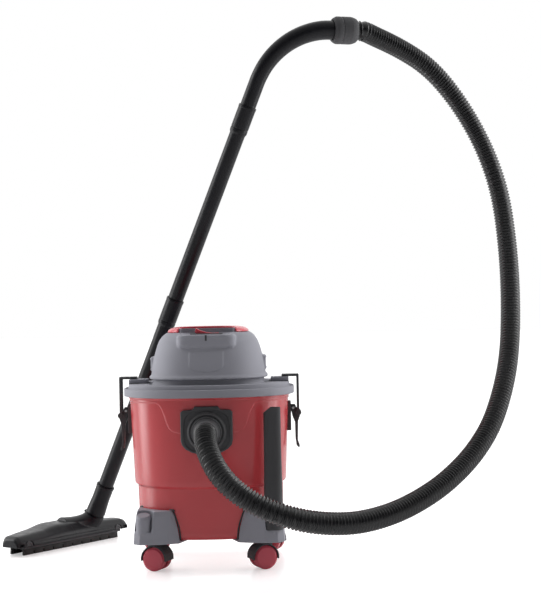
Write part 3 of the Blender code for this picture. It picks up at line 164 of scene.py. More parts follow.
def make_studio():
    scene = bpy.context.scene
    scene.view_settings.view_transform = "Standard"
    make_sky()
    area_light("left_strip", (-1.30, 0.25, 0.75), (0, 0, 0.35), (0.6, 1.8), 15)
    area_light("right_strip", (1.45, 0.25, 0.75), (0, 0, 0.35), (0.6, 1.8), 15)
    sun = bpy.data.lights.new("overhead", "SUN")
    sun.energy = 0.75
    sun.angle = math.radians(140)
    overhead = bpy.data.objects.new("overhead", sun)
    scene.collection.objects.link(overhead)
    overhead.rotation_euler = (math.radians(-12), 0, 0)

    shape = bmesh.new()
    bmesh.ops.create_grid(shape, x_segments=1, y_segments=1, size=30)
    mesh = bpy.data.meshes.new("floor")
    shape.to_mesh(mesh)
    shape.free()
    floor = bpy.data.objects.new("floor", mesh)
    scene.collection.objects.link(floor)
    mesh.transform(Matrix.Translation((0, 0, -0.0003)))
    pale = bpy.data.materials.new("pale_floor")
    pale.use_nodes = True
    shader = pale.node_tree.nodes["Principled BSDF"]
    shader.inputs["Base Color"].default_value = (0.95, 0.95, 0.955, 1)
    shader.inputs["Roughness"].default_value = 0.22
    shader.inputs["Specular IOR Level"].default_value = 0.35
    shader.inputs["Emission Color"].default_value = (1.0, 1.0, 1.0, 1)
    links = pale.node_tree.links
    seen = pale.node_tree.nodes.new("ShaderNodeLightPath")
    glow = pale.node_tree.nodes.new("ShaderNodeMath")
    glow.operation = "MULTIPLY"
    glow.inputs[1].default_value = 0.42
    links.new(seen.outputs["Is Camera Ray"], glow.inputs[0])
    links.new(glow.outputs[0], shader.inputs["Emission Strength"])
    mesh.materials.append(pale)


# ================================================================ finishes
class Finish:
    """Builds one procedural material step by step."""

    def __init__(self, name):
        self.made = bpy.data.materials.new(name)
        self.made.use_nodes = True
        self.tree = self.made.node_tree
        self.shader = self.tree.nodes["Principled BSDF"]
        self.place = self.add("ShaderNodeTexCoord").outputs["Object"]

    def add(self, kind, **values):
        node = self.tree.nodes.new(kind)
        for key, value in values.items():
            setattr(node, key, value)
        return node

    def link(self, start, end):
        self.tree.links.new(start, end)

    def grain(self, scale, detail=4.0, stretch=(1, 1, 1), roughness=0.55):
        """Noise on the piece's own place, coarser along a stretched axis."""
        mapping = self.add("ShaderNodeMapping")
        mapping.inputs["Scale"].default_value = stretch
        self.link(self.place, mapping.inputs["Vector"])
        noise = self.add("ShaderNodeTexNoise")
        noise.inputs["Scale"].default_value = scale
        noise.inputs["Detail"].default_value = detail
        noise.inputs["Roughness"].default_value = roughness
        self.link(mapping.outputs["Vector"], noise.inputs["Vector"])
        return noise.outputs["Fac"]

    def ramp(self, value, stops):
        ramp = self.add("ShaderNodeValToRGB")
        points = ramp.color_ramp.elements
        while len(points) < len(stops):
            points.new(0.5)
        for point, (place, colour) in zip(points, stops):
            point.position = place
            point.color = (*colour, 1.0)
        self.link(value, ramp.inputs["Fac"])
        return ramp.outputs["Color"]

    def span(self, value, low, high, out_low, out_high):
        fit = self.add("ShaderNodeMapRange")
        for key, number in zip(("From Min", "From Max", "To Min", "To Max"), (low, high, out_low, out_high)):
            fit.inputs[key].default_value = number
        self.link(value, fit.inputs["Value"])
        return fit.outputs["Result"]

    def mix(self, factor, first, second):
        mix = self.add("ShaderNodeMix", data_type="RGBA")
        self.link(factor, mix.inputs["Factor"])
        for value, socket in ((first, mix.inputs[6]), (second, mix.inputs[7])):
            if isinstance(value, tuple):
                socket.default_value = (*value, 1.0)
            else:
                self.link(value, socket)
        return mix.outputs[2]

    def bump(self, heights):
        """Bumps on bumps: (height value, strength, distance), finest last."""
        normal = None
        for value, strength, distance in heights:
            bump = self.add("ShaderNodeBump")
            bump.inputs["Strength"].default_value = strength
            bump.inputs["Distance"].default_value = distance
            self.link(value, bump.inputs["Height"])
            if normal is not None:
                self.link(normal, bump.inputs["Normal"])
            normal = bump.outputs["Normal"]
        self.link(normal, self.shader.inputs["Normal"])


def moulded(name, deep, plain, worn, rough, grain_size=2600.0, grain_depth=0.00006, coat=0.0,
            sheen_of_wear=0.10):
    """Injection-moulded plastic: uneven tone, fine spark grain, dulled and polished patches, faint scuffs."""
    made = bpy.data.materials.get(name)
    if made:
        return made
    finish = Finish(name)
    cloud = finish.grain(9.0, 3.0)
    fine = finish.grain(85.0, 5.0, (1.0, 1.0, 0.6))
    tone = finish.ramp(cloud, [(0.30, deep), (0.70, plain)])
    scuff_mask = finish.span(finish.grain(38.0, 8.0, (1.0, 1.0, 0.35), 0.72), 0.60, 0.74, 0.0, sheen_of_wear)
    tone = finish.mix(scuff_mask, tone, worn)
    finish.link(tone, finish.shader.inputs["Base Color"])
    finish.link(finish.span(fine, 0.3, 0.7, rough - 0.06, rough + 0.07), finish.shader.inputs["Roughness"])
    spark = finish.grain(grain_size, 2.0)
    ripple = finish.grain(14.0, 2.0)
    finish.bump([(ripple, 0.25, 0.0004), (spark, 0.5, grain_depth)])
    finish.shader.inputs["Specular IOR Level"].default_value = 0.22
    if coat:
        finish.shader.inputs["Coat Weight"].default_value = coat
        finish.shader.inputs["Coat Roughness"].default_value = 0.12
    return finish.made


def tank_red():
    return moulded("tank_red", (0.185, 0.0040, 0.0075), (0.215, 0.0050, 0.0090), (0.26, 0.018, 0.020), 0.30,
                   grain_depth=0.00004, sheen_of_wear=0.05)


def cap_red():
    return moulded("cap_red", (0.46, 0.010, 0.024), (0.52, 0.013, 0.032), (0.56, 0.06, 0.08), 0.24, coat=0.25)


def wheel_red():
    return moulded("wheel_red", (0.30, 0.011, 0.024), (0.36, 0.016, 0.032), (0.26, 0.07, 0.07), 0.40,
                   sheen_of_wear=0.22)


def lid_grey():
    return moulded("lid_grey", (0.058, 0.058, 0.078), (0.070, 0.070, 0.094), (0.15, 0.15, 0.17), 0.34,
                   sheen_of_wear=0.06)


def trim_black():
    return moulded("trim_black", (0.0045, 0.0045, 0.0060), (0.0075, 0.0075, 0.0095),
                   (0.030, 0.030, 0.033), 0.38,
                   sheen_of_wear=0.06)


def wand_black():
    return moulded("wand_black", (0.0060, 0.0060, 0.0080), (0.0095, 0.0095, 0.0120),
                   (0.035, 0.035, 0.038), 0.34,
                   sheen_of_wear=0.06)


def inner_plastic():
    return moulded("inner_plastic", (0.040, 0.040, 0.042), (0.055, 0.055, 0.058), (0.12, 0.12, 0.12), 0.55)


def float_white():
    return moulded("float_white", (0.66, 0.66, 0.62), (0.74, 0.74, 0.70), (0.5, 0.5, 0.46), 0.42)


def hose_black():
    """Corrugated polyethylene: glossy crests, dusty dark valleys."""
    finish = Finish("hose_black")
    cloud = finish.grain(16.0, 4.0)
    tone = finish.ramp(cloud, [(0.3, (0.0035, 0.0035, 0.0045)), (0.7, (0.0070, 0.0070, 0.0085))])
    dust = finish.span(finish.grain(70.0, 6.0), 0.55, 0.75, 0.0, 0.10)
    finish.link(finish.mix(dust, tone, (0.075, 0.075, 0.078)), finish.shader.inputs["Base Color"])
    rough = finish.span(finish.grain(120.0, 4.0), 0.3, 0.7, 0.24, 0.40)
    finish.link(rough, finish.shader.inputs["Roughness"])
    finish.bump([(finish.grain(1500.0, 2.0), 0.4, 0.00005)])
    return finish.made


def seal_rubber():
    finish = Finish("seal_rubber")
    tone = finish.ramp(finish.grain(24.0, 4.0), [(0.3, (0.012, 0.012, 0.012)), (0.7, (0.026, 0.026, 0.026))])
    finish.link(tone, finish.shader.inputs["Base Color"])
    finish.link(finish.span(finish.grain(90.0), 0.3, 0.7, 0.62, 0.82), finish.shader.inputs["Roughness"])
    finish.bump([(finish.grain(900.0, 3.0), 0.5, 0.00012)])
    return finish.made


def steel():
    finish = Finish("steel")
    tone = finish.ramp(finish.grain(60.0, 6.0, (1, 1, 12)),
                       [(0.3, (0.42, 0.42, 0.43)), (0.7, (0.62, 0.62, 0.63))])
    finish.link(tone, finish.shader.inputs["Base Color"])
    finish.shader.inputs["Metallic"].default_value = 1.0
    finish.link(finish.span(finish.grain(200.0), 0.3, 0.7, 0.22, 0.42), finish.shader.inputs["Roughness"])
    finish.bump([(finish.grain(700.0, 3.0, (1, 1, 10)), 0.3, 0.00005)])
    return finish.made


def foam():
    finish = Finish("foam")
    cells = finish.add("ShaderNodeTexVoronoi")
    cells.inputs["Scale"].default_value = 700.0
    finish.link(finish.place, cells.inputs["Vector"])
    tone = finish.ramp(cells.outputs["Distance"], [(0.1, (0.006, 0.006, 0.007)), (0.6, (0.045, 0.045, 0.05))])
    finish.link(tone, finish.shader.inputs["Base Color"])
    finish.link(finish.span(finish.grain(50.0), 0.3, 0.7, 0.88, 0.98), finish.shader.inputs["Roughness"])
    finish.bump([(cells.outputs["Distance"], 0.9, 0.0006)])
    return finish.made


# ================================================================ mesh making
def bent(start, corner, end, t):
    """A point on the soft bend from a start to an end that a corner pulls."""
    return (1 - t) ** 2 * start + 2 * t * (1 - t) * corner + t * t * end


def between(a, b, c, d, t):
    """A point on the smooth curve from b to c, with a before and d after them."""
    return 0.5 * (2 * b + (c - a) * t + (2 * a - 5 * b + 4 * c - d) * t * t
                  + (3 * b - a - 3 * c + d) * t ** 3)


def ring(half_x, half_y, power, z, sides, middle=(0, 0)):
    """Points of a rounded outline: power 2 is an ellipse, more is squarer."""
    points = []
    for step in range(sides):
        turn = 2 * math.pi * step / sides
        c, s = math.cos(turn), math.sin(turn)
        points.append(Vector((middle[0] + half_x * math.copysign(abs(c) ** (2 / power), c),
                              middle[1] + half_y * math.copysign(abs(s) ** (2 / power), s), z)))
    return points


def loft(rings, closed=False):
    """A body through rings of equal count: its ends capped, or its last ring joined to its first."""
    made = bmesh.new()
    rows = [[made.verts.new(point) for point in one] for one in rings]
    pairs = list(zip(rows, rows[1:]))
    if closed:
        pairs.append((rows[-1], rows[0]))
    count = len(rows[0])
    for low, high in pairs:
        for step in range(count):
            after = (step + 1) % count
            made.faces.new((low[step], low[after], high[after], high[step]))
    if not closed:
        made.faces.new(rows[0][::-1])
        made.faces.new(rows[-1])
    bmesh.ops.remove_doubles(made, verts=made.verts, dist=1e-6)
    bmesh.ops.recalc_face_normals(made, faces=made.faces)
    return made


def turned(profile, sides=64, closed=False):
    """A body turned about Z from (radius, height) points."""
    return loft([ring(max(r, 1e-9), max(r, 1e-9), 2, z, sides) for r, z in profile], closed)


def soft_profile(points, radius, steps=3, closed=False):
    """A profile with its corners rounded off by up to a radius."""
    points = [Vector(point) for point in points]
    out = []
    last = len(points) - 1
    for at, point in enumerate(points):
        if not closed and at in (0, last):
            out.append(tuple(point))
            continue
        before, after = points[at - 1], points[(at + 1) % len(points)]
        reach = min(radius, (before - point).length * 0.45, (after - point).length * 0.45)
        start = point + (before - point).normalized() * reach
        end = point + (after - point).normalized() * reach
        for step in range(steps + 1):
            t = step / steps
            out.append(tuple(bent(start, point, end, t)))
    return out


def block(low, high):
    """A plain box between two corners."""
    (x0, y0, z0), (x1, y1, z1) = low, high
    return loft([[Vector((x, y, z)) for x, y in ((x0, y0), (x1, y0), (x1, y1), (x0, y1))]
                 for z in (z0, z1)])


def turn_to(direction):
    """The rotation that lays Z along a direction."""
    return Vector((0, 0, 1)).rotation_difference(direction.normalized()).to_matrix()


def rod(radius, start, end, sides=32):
    """A round bar between two points."""
    start, end = Vector(start), Vector(end)
    made = turned([(radius, 0.0), (radius, (end - start).length)], sides)
    made.transform(Matrix.Translation(start) @ turn_to(end - start).to_4x4())
    return made


def swept(path, radii, sides=32):
    """Rings square to a path, one radius for each of its points."""
    path = [Vector(point) for point in path]
    across = (path[1] - path[0]).normalized().orthogonal().normalized()
    rings = []
    for step, point in enumerate(path):
        ahead = (path[min(step + 1, len(path) - 1)] - path[max(step - 1, 0)]).normalized()
        across = (across - ahead * across.dot(ahead)).normalized()
        other = ahead.cross(across)
        rings.append([point + radii[step] * (math.cos(a) * across + math.sin(a) * other)
                      for a in (2 * math.pi * k / sides for k in range(sides))])
    return rings


def moved(shape, matrix):
    """The shape itself, put somewhere else."""
    shape.transform(matrix)
    return shape


def smooth_route(points, spacing):
    """Evenly spaced points on a smooth curve through a route's own points."""
    points = [Vector(point) for point in points]
    padded = [2 * points[0] - points[1]] + points + [2 * points[-1] - points[-2]]
    fine = []
    for a, b, c, d in zip(padded, padded[1:], padded[2:], padded[3:]):
        for step in range(16):
            t = step / 16
            fine.append(between(a, b, c, d, t))
    fine.append(points[-1])
    reach = [0.0]
    for before, after in zip(fine, fine[1:]):
        reach.append(reach[-1] + (after - before).length)
    count = max(2, round(reach[-1] / spacing))
    route, place = [], 0
    for step in range(count + 1):
        goal = reach[-1] * step / count
        while place < len(reach) - 2 and reach[place + 1] < goal:
            place += 1
        part = (goal - reach[place]) / (reach[place + 1] - reach[place])
        route.append(fine[place].lerp(fine[place + 1], min(max(part, 0.0), 1.0)))
    return route


def loose(name, shape):
    """A working object for a shape, before it is finished."""
    mesh = bpy.data.meshes.new(name)
    shape.to_mesh(mesh)
    shape.free()
    made = bpy.data.objects.new(name, mesh)
    bpy.context.scene.collection.objects.link(made)
    return made


def change(target, kind, shape):
    """Joins a shape to a working object, or cuts it away."""
    tool = loose("tool", shape)
    step = target.modifiers.new("shape", "BOOLEAN")
    step.operation = kind
    step.solver = "EXACT"
    step.object = tool
    settle(target)
    bpy.data.objects.remove(tool)


def settle(target):
    """Applies a working object's modifiers to its mesh."""
    bpy.context.view_layer.update()
    seen = target.evaluated_get(bpy.context.evaluated_depsgraph_get())
    mesh = bpy.data.meshes.new_from_object(seen)
    target.modifiers.clear()
    target.data = mesh


def soften(target, width, segments=2, angle=35):
    """Rounds a working object's sharp edges."""
    shape = bmesh.new()
    shape.from_mesh(target.data)
    bmesh.ops.remove_doubles(shape, verts=shape.verts, dist=2e-6)
    bmesh.ops.dissolve_limit(shape, angle_limit=math.radians(1.5), verts=shape.verts, edges=shape.edges)
    shape.to_mesh(target.data)
    shape.free()
    bevel = target.modifiers.new("edge", "BEVEL")
    bevel.width = width
    bevel.segments = segments
    bevel.limit_method = "ANGLE"
    bevel.angle_limit = math.radians(angle)
    bevel.use_clamp_overlap = True
    settle(target)


def finished(name, target, finish, body, stands_for=(), angle=40):
    """Gives a working object its finish and body, with its place in its mesh."""
    if isinstance(target, bmesh.types.BMesh):
        target = loose(name, target)
    target.name = name
    mesh = target.data
    mesh.name = name
    mesh.transform(Matrix.Translation(AXIS) @ target.matrix_world)
    target.matrix_world = Matrix.Identity(4)
    mesh.materials.clear()
    mesh.materials.append(finish)
    mesh.shade_smooth()
    mesh.set_sharp_from_angle(angle=math.radians(angle))
    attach(target, body)
    if stands_for:
        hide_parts(*stands_for)
    return target


def from_cad(node):
    """A working copy of a CAD node, about the tank's axis, its loose faces joined."""
    shape = bmesh.new()
    shape.from_mesh(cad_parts[node].data)
    bmesh.ops.remove_doubles(shape, verts=shape.verts, dist=2e-6)
    shape.transform(Matrix.Translation(-AXIS))
    return loose(node, shape)


# ================================================================ node-made pieces
class Growth:
    """A Geometry Nodes tree with named inputs, grown on a working object and turned into a plain mesh."""

    def __init__(self, name):
        self.tree = bpy.data.node_groups.new(name, "GeometryNodeTree")
        self.tree.interface.new_socket("Geometry", in_out="INPUT", socket_type="NodeSocketGeometry")
        self.tree.interface.new_socket("Geometry", in_out="OUTPUT", socket_type="NodeSocketGeometry")
        self.start = None

    def ask(self, name, kind="NodeSocketFloat"):
        self.tree.interface.new_socket(name, in_out="INPUT", socket_type=kind)

    def open(self):
        self.start = self.tree.nodes.new("NodeGroupInput")
        return self.start.outputs

    def add(self, kind, sources=None, **values):
        node = self.tree.nodes.new(kind)
        for key, value in values.items():
            setattr(node, key, value)
        for key, source in (sources or {}).items():
            socket = node.inputs[key]
            if isinstance(source, bpy.types.NodeSocket):
                self.tree.links.new(source, socket)
            else:
                socket.default_value = source
        return node

    def sum(self, kind, first, second=None):
        sources = {0: first}
        if second is not None:
            sources[1] = second
        return self.add("ShaderNodeMath", sources, operation=kind).outputs[0]

    def close(self, geometry, finish):
        whole = self.add("GeometryNodeRealizeInstances", {"Geometry": geometry}).outputs[0]
        painted = self.add("GeometryNodeSetMaterial", {"Geometry": whole, "Material": finish}).outputs[0]
        end = self.tree.nodes.new("NodeGroupOutput")
        self.tree.links.new(painted, end.inputs[0])

    def grow(self, target, **values):
        """Runs the tree on an object with its inputs set, and returns a working mesh object."""
        step = target.modifiers.new(self.tree.name, "NODES")
        step.node_group = self.tree
        for item in self.tree.interface.items_tree:
            if item.in_out == "INPUT" and item.name in values:
                step[item.identifier] = values[item.name]
        bpy.context.view_layer.update()
        seen = target.evaluated_get(bpy.context.evaluated_depsgraph_get())
        mesh = bpy.data.meshes.new_from_object(seen)
        made = bpy.data.objects.new(target.name + "_grown", mesh)
        bpy.context.scene.collection.objects.link(made)
        bpy.data.objects.remove(target)
        return made


def corrugation_tree():
    """A ribbed hose along a curve: round crests, narrow valleys."""
    growth = Growth("corrugated_hose")
    for name in ("Diameter", "Rib Depth", "Rib Pitch"):
        growth.ask(name)
    growth.ask("Finish", "NodeSocketMaterial")
    given = growth.open()
    step = growth.sum("DIVIDE", given["Rib Pitch"], 8.0)
    line = growth.add("GeometryNodeResampleCurve", {"Curve": given["Geometry"], "Length": step},
                      mode="LENGTH")
    reach = growth.add("GeometryNodeSplineParameter").outputs["Length"]
    wave = growth.sum("COSINE", growth.sum("MULTIPLY", growth.sum("DIVIDE", reach, given["Rib Pitch"]),
                                           2 * math.pi))
    valley = growth.sum("POWER", growth.sum("MULTIPLY", growth.sum("SUBTRACT", 1.0, wave), 0.5), 0.6)
    both_sides = growth.sum("MULTIPLY", given["Rib Depth"], 2.0)
    sunk = growth.sum("MULTIPLY", valley, growth.sum("DIVIDE", both_sides, given["Diameter"]))
    wide = growth.add("GeometryNodeSetCurveRadius",
                      {"Curve": line.outputs[0], "Radius": growth.sum("SUBTRACT", 1.0, sunk)})
    round_profile = growth.add("GeometryNodeCurvePrimitiveCircle",
                               {"Resolution": 24, "Radius": growth.sum("MULTIPLY", given["Diameter"], 0.5)})
    sources = {"Curve": wide.outputs[0], "Profile Curve": round_profile.outputs[0], "Fill Caps": True}
    skin = growth.add("GeometryNodeCurveToMesh", sources)
    if "Scale" in skin.inputs:
        growth.tree.links.new(growth.add("GeometryNodeInputRadius").outputs[0], skin.inputs["Scale"])
    growth.close(skin.outputs[0], given["Finish"])
    return growth


def bar_row_tree():
    """Rounded bars in a row: louvres, grip ribs, teeth."""
    growth = Growth("row_of_bars")
    growth.ask("Start", "NodeSocketVector")
    growth.ask("Step", "NodeSocketVector")
    growth.ask("Count", "NodeSocketInt")
    growth.ask("Bar Size", "NodeSocketVector")
    growth.ask("Finish", "NodeSocketMaterial")
    given = growth.open()
    line = growth.add("GeometryNodeMeshLine", {"Count": given["Count"], "Start Location": given["Start"],
                                               "Offset": given["Step"]})
    bar_shape = growth.add("GeometryNodeMeshCube", {"Size": given["Bar Size"], "Vertices X": 4,
                                                    "Vertices Y": 4, "Vertices Z": 4})
    sharp = growth.add("GeometryNodeSubdivisionSurface", {"Mesh": bar_shape.outputs[0], "Level": 1})
    placed = growth.add("GeometryNodeInstanceOnPoints", {"Points": line.outputs[0],
                                                         "Instance": sharp.outputs[0]})
    growth.close(placed.outputs[0], given["Finish"])
    return growth


def screw_tree():
    """Pan-head screws with a cross recess, one for each point, standing along the point's normal."""
    growth = Growth("screw_heads")
    growth.ask("Head Radius")
    growth.ask("Head Height")
    growth.ask("Finish", "NodeSocketMaterial")
    given = growth.open()
    radius, height = given["Head Radius"], given["Head Height"]
    dome = growth.add("GeometryNodeMeshUVSphere", {"Segments": 20, "Rings": 10, "Radius": radius})
    flat = growth.add("ShaderNodeCombineXYZ", {"X": 1.0, "Y": 1.0, "Z": growth.sum("DIVIDE", height, radius)})
    head = growth.add("GeometryNodeTransform", {"Geometry": dome.outputs[0], "Scale": flat.outputs[0]})
    long_side, slim = growth.sum("MULTIPLY", radius, 1.15), growth.sum("MULTIPLY", radius, 0.24)
    arms = []
    for sides in ((long_side, slim), (slim, long_side)):
        size = growth.add("ShaderNodeCombineXYZ", {"X": sides[0], "Y": sides[1], "Z": height})
        arm = growth.add("GeometryNodeMeshCube", {"Size": size.outputs[0]})
        lift = growth.add("ShaderNodeCombineXYZ", {"Z": height})
        arms.append(growth.add("GeometryNodeTransform", {"Geometry": arm.outputs[0],
                                                         "Translation": lift.outputs[0]}).outputs[0])
    cut = growth.add("GeometryNodeMeshBoolean", {"Mesh 1": head.outputs[0]}, operation="DIFFERENCE")
    for arm in arms:
        growth.tree.links.new(arm, cut.inputs["Mesh 2"])
    normal = growth.add("GeometryNodeInputNormal")
    lean = growth.add("FunctionNodeAlignRotationToVector", {"Vector": normal.outputs[0]}, axis="Z")
    placed = growth.add("GeometryNodeInstanceOnPoints",
                        {"Points": given["Geometry"], "Instance": cut.outputs[0],
                         "Rotation": lean.outputs[0]})
    growth.close(placed.outputs[0], given["Finish"])
    return growth


def point_marks(name, places):
    """Tiny triangles whose first corner is a place and whose normal is its direction."""
    mesh = bpy.data.meshes.new(name)
    faces = []
    for at, facing in places:
        at, facing = Vector(at), Vector(facing).normalized()
        side = facing.orthogonal().normalized() * 1e-5
        faces.append((at, at + side, at + facing.cross(side)))
    made = bmesh.new()
    for trio in faces:
        made.faces.new([made.verts.new(point) for point in trio])
    made.to_mesh(mesh)
    made.free()
    return mesh


# ================================================================ hose
def handle_path():
    """The handle's centreline, from inside the upper tube round to the coupling, and where it points."""
    path = [WAND_HEAD - WAND_AXIS * 0.0380, WAND_HEAD, WAND_HEAD + WAND_AXIS * 0.0484]
    total = WAND_AXIS.angle(HANDLE_OUT)
    hinge = WAND_AXIS.cross(HANDLE_OUT).normalized()
    place, steps = path[-1].copy(), 24
    chord = 2 * 0.1456 * math.sin(total / 8 / 2) * 8 / steps
    for step in range(steps):
        place = place + (Matrix.Rotation(total / steps * (step + 0.5), 3, hinge) @ WAND_AXIS) * chord
        path.append(place.copy())
    path.append(place + HANDLE_OUT * 0.012)
    return path


def make_hose():
    mouth = Vector((0, CUFF_LOW.y - GAP, INLET.z))
    end = handle_path()[-1] + HANDLE_OUT * 0.0373
    first = mouth + Vector((0, -HOSE_LEAD, 0))
    last = end + HANDLE_OUT * HOSE_LEAD
    route = [mouth] + smooth_route([first] + HOSE_ROUTE + [last], 0.030) + [end]
    route = smooth_route(route, 0.012)

    curve = bpy.data.curves.new("hose_line", "CURVE")
    curve.dimensions = "3D"
    spline = curve.splines.new("POLY")
    spline.points.add(len(route) - 1)
    for knot, point in zip(spline.points, route):
        knot.co = (*point, 1.0)
    line = bpy.data.objects.new("hose_line", curve)
    bpy.context.scene.collection.objects.link(line)
    finish = hose_black()
    values = {"Diameter": HOSE_OD, "Rib Depth": RIB_DEPTH, "Rib Pitch": RIB_PITCH, "Finish": finish}
    ribbed = corrugation_tree().grow(line, **values)
    ribbed = finished("hose_ribbed", ribbed, finish, "vacuum", ["hose"], 180)


# ================================================================ tank
CONTOUR = [(0.000, 0.2390), (0.045, 0.2392), (0.058, 0.2420), (0.0650, 0.2470), (0.0690, 0.2560),
           (0.0735, 0.2700), (0.0785, 0.2825), (0.0830, 0.2890), (0.0890, 0.2920), (0.200, 0.2925)]
PANEL_RISE = 0.0010


def panel_share(x, z):
    """1 on the thicker band under the rim and round the inlet, 0 below its edge, seen from the front."""
    z -= LIFT
    place, nearest = Vector((abs(x), z)), 1.0
    for a, b in zip(CONTOUR, CONTOUR[1:]):
        a, b = Vector(a), Vector(b)
        along = min(max((place - a).dot(b - a) / (b - a).length_squared, 0.0), 1.0)
        nearest = min(nearest, (place - a.lerp(b, along)).length)
    at = next(k for k in range(1, len(CONTOUR)) if CONTOUR[k][0] >= min(abs(x), 0.199))
    (x0, z0), (x1, z1) = CONTOUR[at - 1], CONTOUR[at]
    above = z > z0 + (z1 - z0) * (min(abs(x), 0.199) - x0) / (x1 - x0)
    share = min(max(0.5 + (nearest if above else -nearest) / 0.0018, 0.0), 1.0)
    return share * share * (3 - 2 * share)


def tank_turns():
    """Where the tank's columns stand round its plan: closest beside the inlet."""
    turns, turn = [], 0.0
    while turn < 2 * math.pi - 0.004:
        turns.append(turn)
        x = RIM_HALF * math.copysign(abs(math.cos(turn)) ** (2 / SQUARENESS), math.cos(turn))
        fine = turn > math.pi and 0.040 < abs(x) < 0.095
        turn += 0.0052 if fine else 0.0200
    return turns


def tank_half(z):
    levels = [(0.0545, 0.1290), (0.1435, 0.1315), (0.1485, 0.1368), (0.2995, 0.1437), (0.3040, 0.1437)]
    for (z0, h0), (z1, h1) in zip(levels, levels[1:]):
        if z <= z1:
            return h0 + (h1 - h0) * max(z - z0, 0.0) / (z1 - z0)
    return levels[-1][1]


def tank_reach(angle, z):
    c, s = abs(math.cos(angle)), abs(math.sin(angle))
    return tank_half(z) / (c ** SQUARENESS + s ** SQUARENESS) ** (1 / SQUARENESS)


def make_tank():
    turns = tank_turns()
    low, top, wall = TANK_LOW.z, TANK_HIGH.z, 0.0030

    def row(half, z, rise=0.0):
        points = []
        for turn in turns:
            c, s = math.cos(turn), math.sin(turn)
            point = Vector((half * math.copysign(abs(c) ** (2 / SQUARENESS), c),
                            half * math.copysign(abs(s) ** (2 / SQUARENESS), s), 0))
            share = (panel_share(point.x, z) if s < 0 else panel_share(1.0, z)) if rise else 0.0
            points.append(point * (1 + rise * share / half) + Vector((0, 0, z)))
        return points

    heights = [0.0605, 0.0700, 0.0850, 0.1000, 0.1150, 0.1300, 0.1420]
    rows = [row(0.1290 - 0.0085, low + 0.0002), row(0.1290 - 0.0050, low + 0.0008),
            row(0.1290 - 0.0022, low + 0.0024), row(0.1290 - 0.0006, low + 0.0045)]
    rows += [row(tank_half(z), z) for z in heights]
    for share in (0.0, 0.10, 0.28, 0.5, 0.72, 0.90, 1.0):            # the rounded step
        bend = share * share * (3 - 2 * share)
        rows.append(row(0.1315 + (0.1368 - 0.1315) * bend, 0.1430 + 0.0060 * share))
    rows += [row(tank_half(z), z) for z in (0.160, 0.172, 0.187, 0.205, 0.220, 0.231, 0.2375)]
    z = 0.2395
    while z < 0.2975:
        rows.append(row(tank_half(z), z, PANEL_RISE))
        z += 0.00085
    rows.append(row(tank_half(0.2991), 0.2991, PANEL_RISE))
    rows += [row(half, top - drop) for half, drop in
             ((0.1450, 0.0041), (0.1464, 0.0035), (RIM_HALF - 0.0002, 0.0027), (RIM_HALF, 0.0015),
              (RIM_HALF - 0.0004, 0.0006), (RIM_HALF - 0.0014, 0), (0.1412, 0), (0.1407, 0.0007))]
    rows += [row(tank_half(z) - wall, z) for z in (0.2985, 0.230, 0.1485)]
    rows += [row(tank_half(z) - wall, z) for z in (0.1435, 0.100, 0.0680)]
    rows += [row(0.1240, low + wall + 0.0015), row(0.1200, low + wall)]
    tank = loose("tank_shell", loft(rows))
    change(tank, "DIFFERENCE", rod(0.0247, (0, -0.10, INLET.z), (0, -0.20, INLET.z), 64))
    finished("tank_shell", tank, tank_red(), "vacuum", ["tank"], 50)


# ================================================================ lid
def soft_levels(levels, radius, steps=3, closed=True):
    """Outline levels (half x, half y, squareness, height) with the corners of their profile rounded."""
    rows = [Vector((x, y, z, power)) for x, y, power, z in levels]

    def reach(a, b):
        return (Vector((a[0], a[2])) - Vector((b[0], b[2]))).length

    out, last = [], len(rows) - 1
    for at, point in enumerate(rows):
        before, after = rows[at - 1], rows[(at + 1) % len(rows)]
        if not closed and at in (0, last):
            out.append(point)
            continue
        cut = min(radius, reach(point, before) * 0.45, reach(point, after) * 0.45)
        start = point.lerp(before, cut / max(reach(point, before), 1e-9))
        end = point.lerp(after, cut / max(reach(point, after), 1e-9))
        for step in range(steps + 1):
            t = step / steps
            out.append(bent(start, point, end, t))
    return [(p[0], p[1], p[3], p[2]) for p in out]


def round_block(low, high, radius, power=6.0, sides=48, steps=4):
    """A cushion-edged block: rounded in plan and over its top and bottom edges."""
    low, high = Vector(low), Vector(high)
    half, middle = (high - low) / 2, (high + low) / 2
    levels = []
    for step in range(steps + 1):
        turn = math.pi / 2 * step / steps
        levels.append((radius * (1 - math.sin(turn)), low.z + radius * (1 - math.cos(turn))))
    levels += [(shrink, high.z + low.z - z) for shrink, z in levels[::-1]]
    return loft([ring(half.x - shrink, half.y - shrink, power, z, sides, (middle.x, middle.y))
                 for shrink, z in levels])


def cast(target, voxel, rounds=2):
    """Gives a working object the soft edges of a moulding: one even skin, smoothed."""
    skin = target.modifiers.new("skin", "REMESH")
    skin.mode = "VOXEL"
    skin.voxel_size = voxel
    soft = target.modifiers.new("soft", "SMOOTH")
    soft.factor = 0.5
    soft.iterations = rounds
    settle(target)


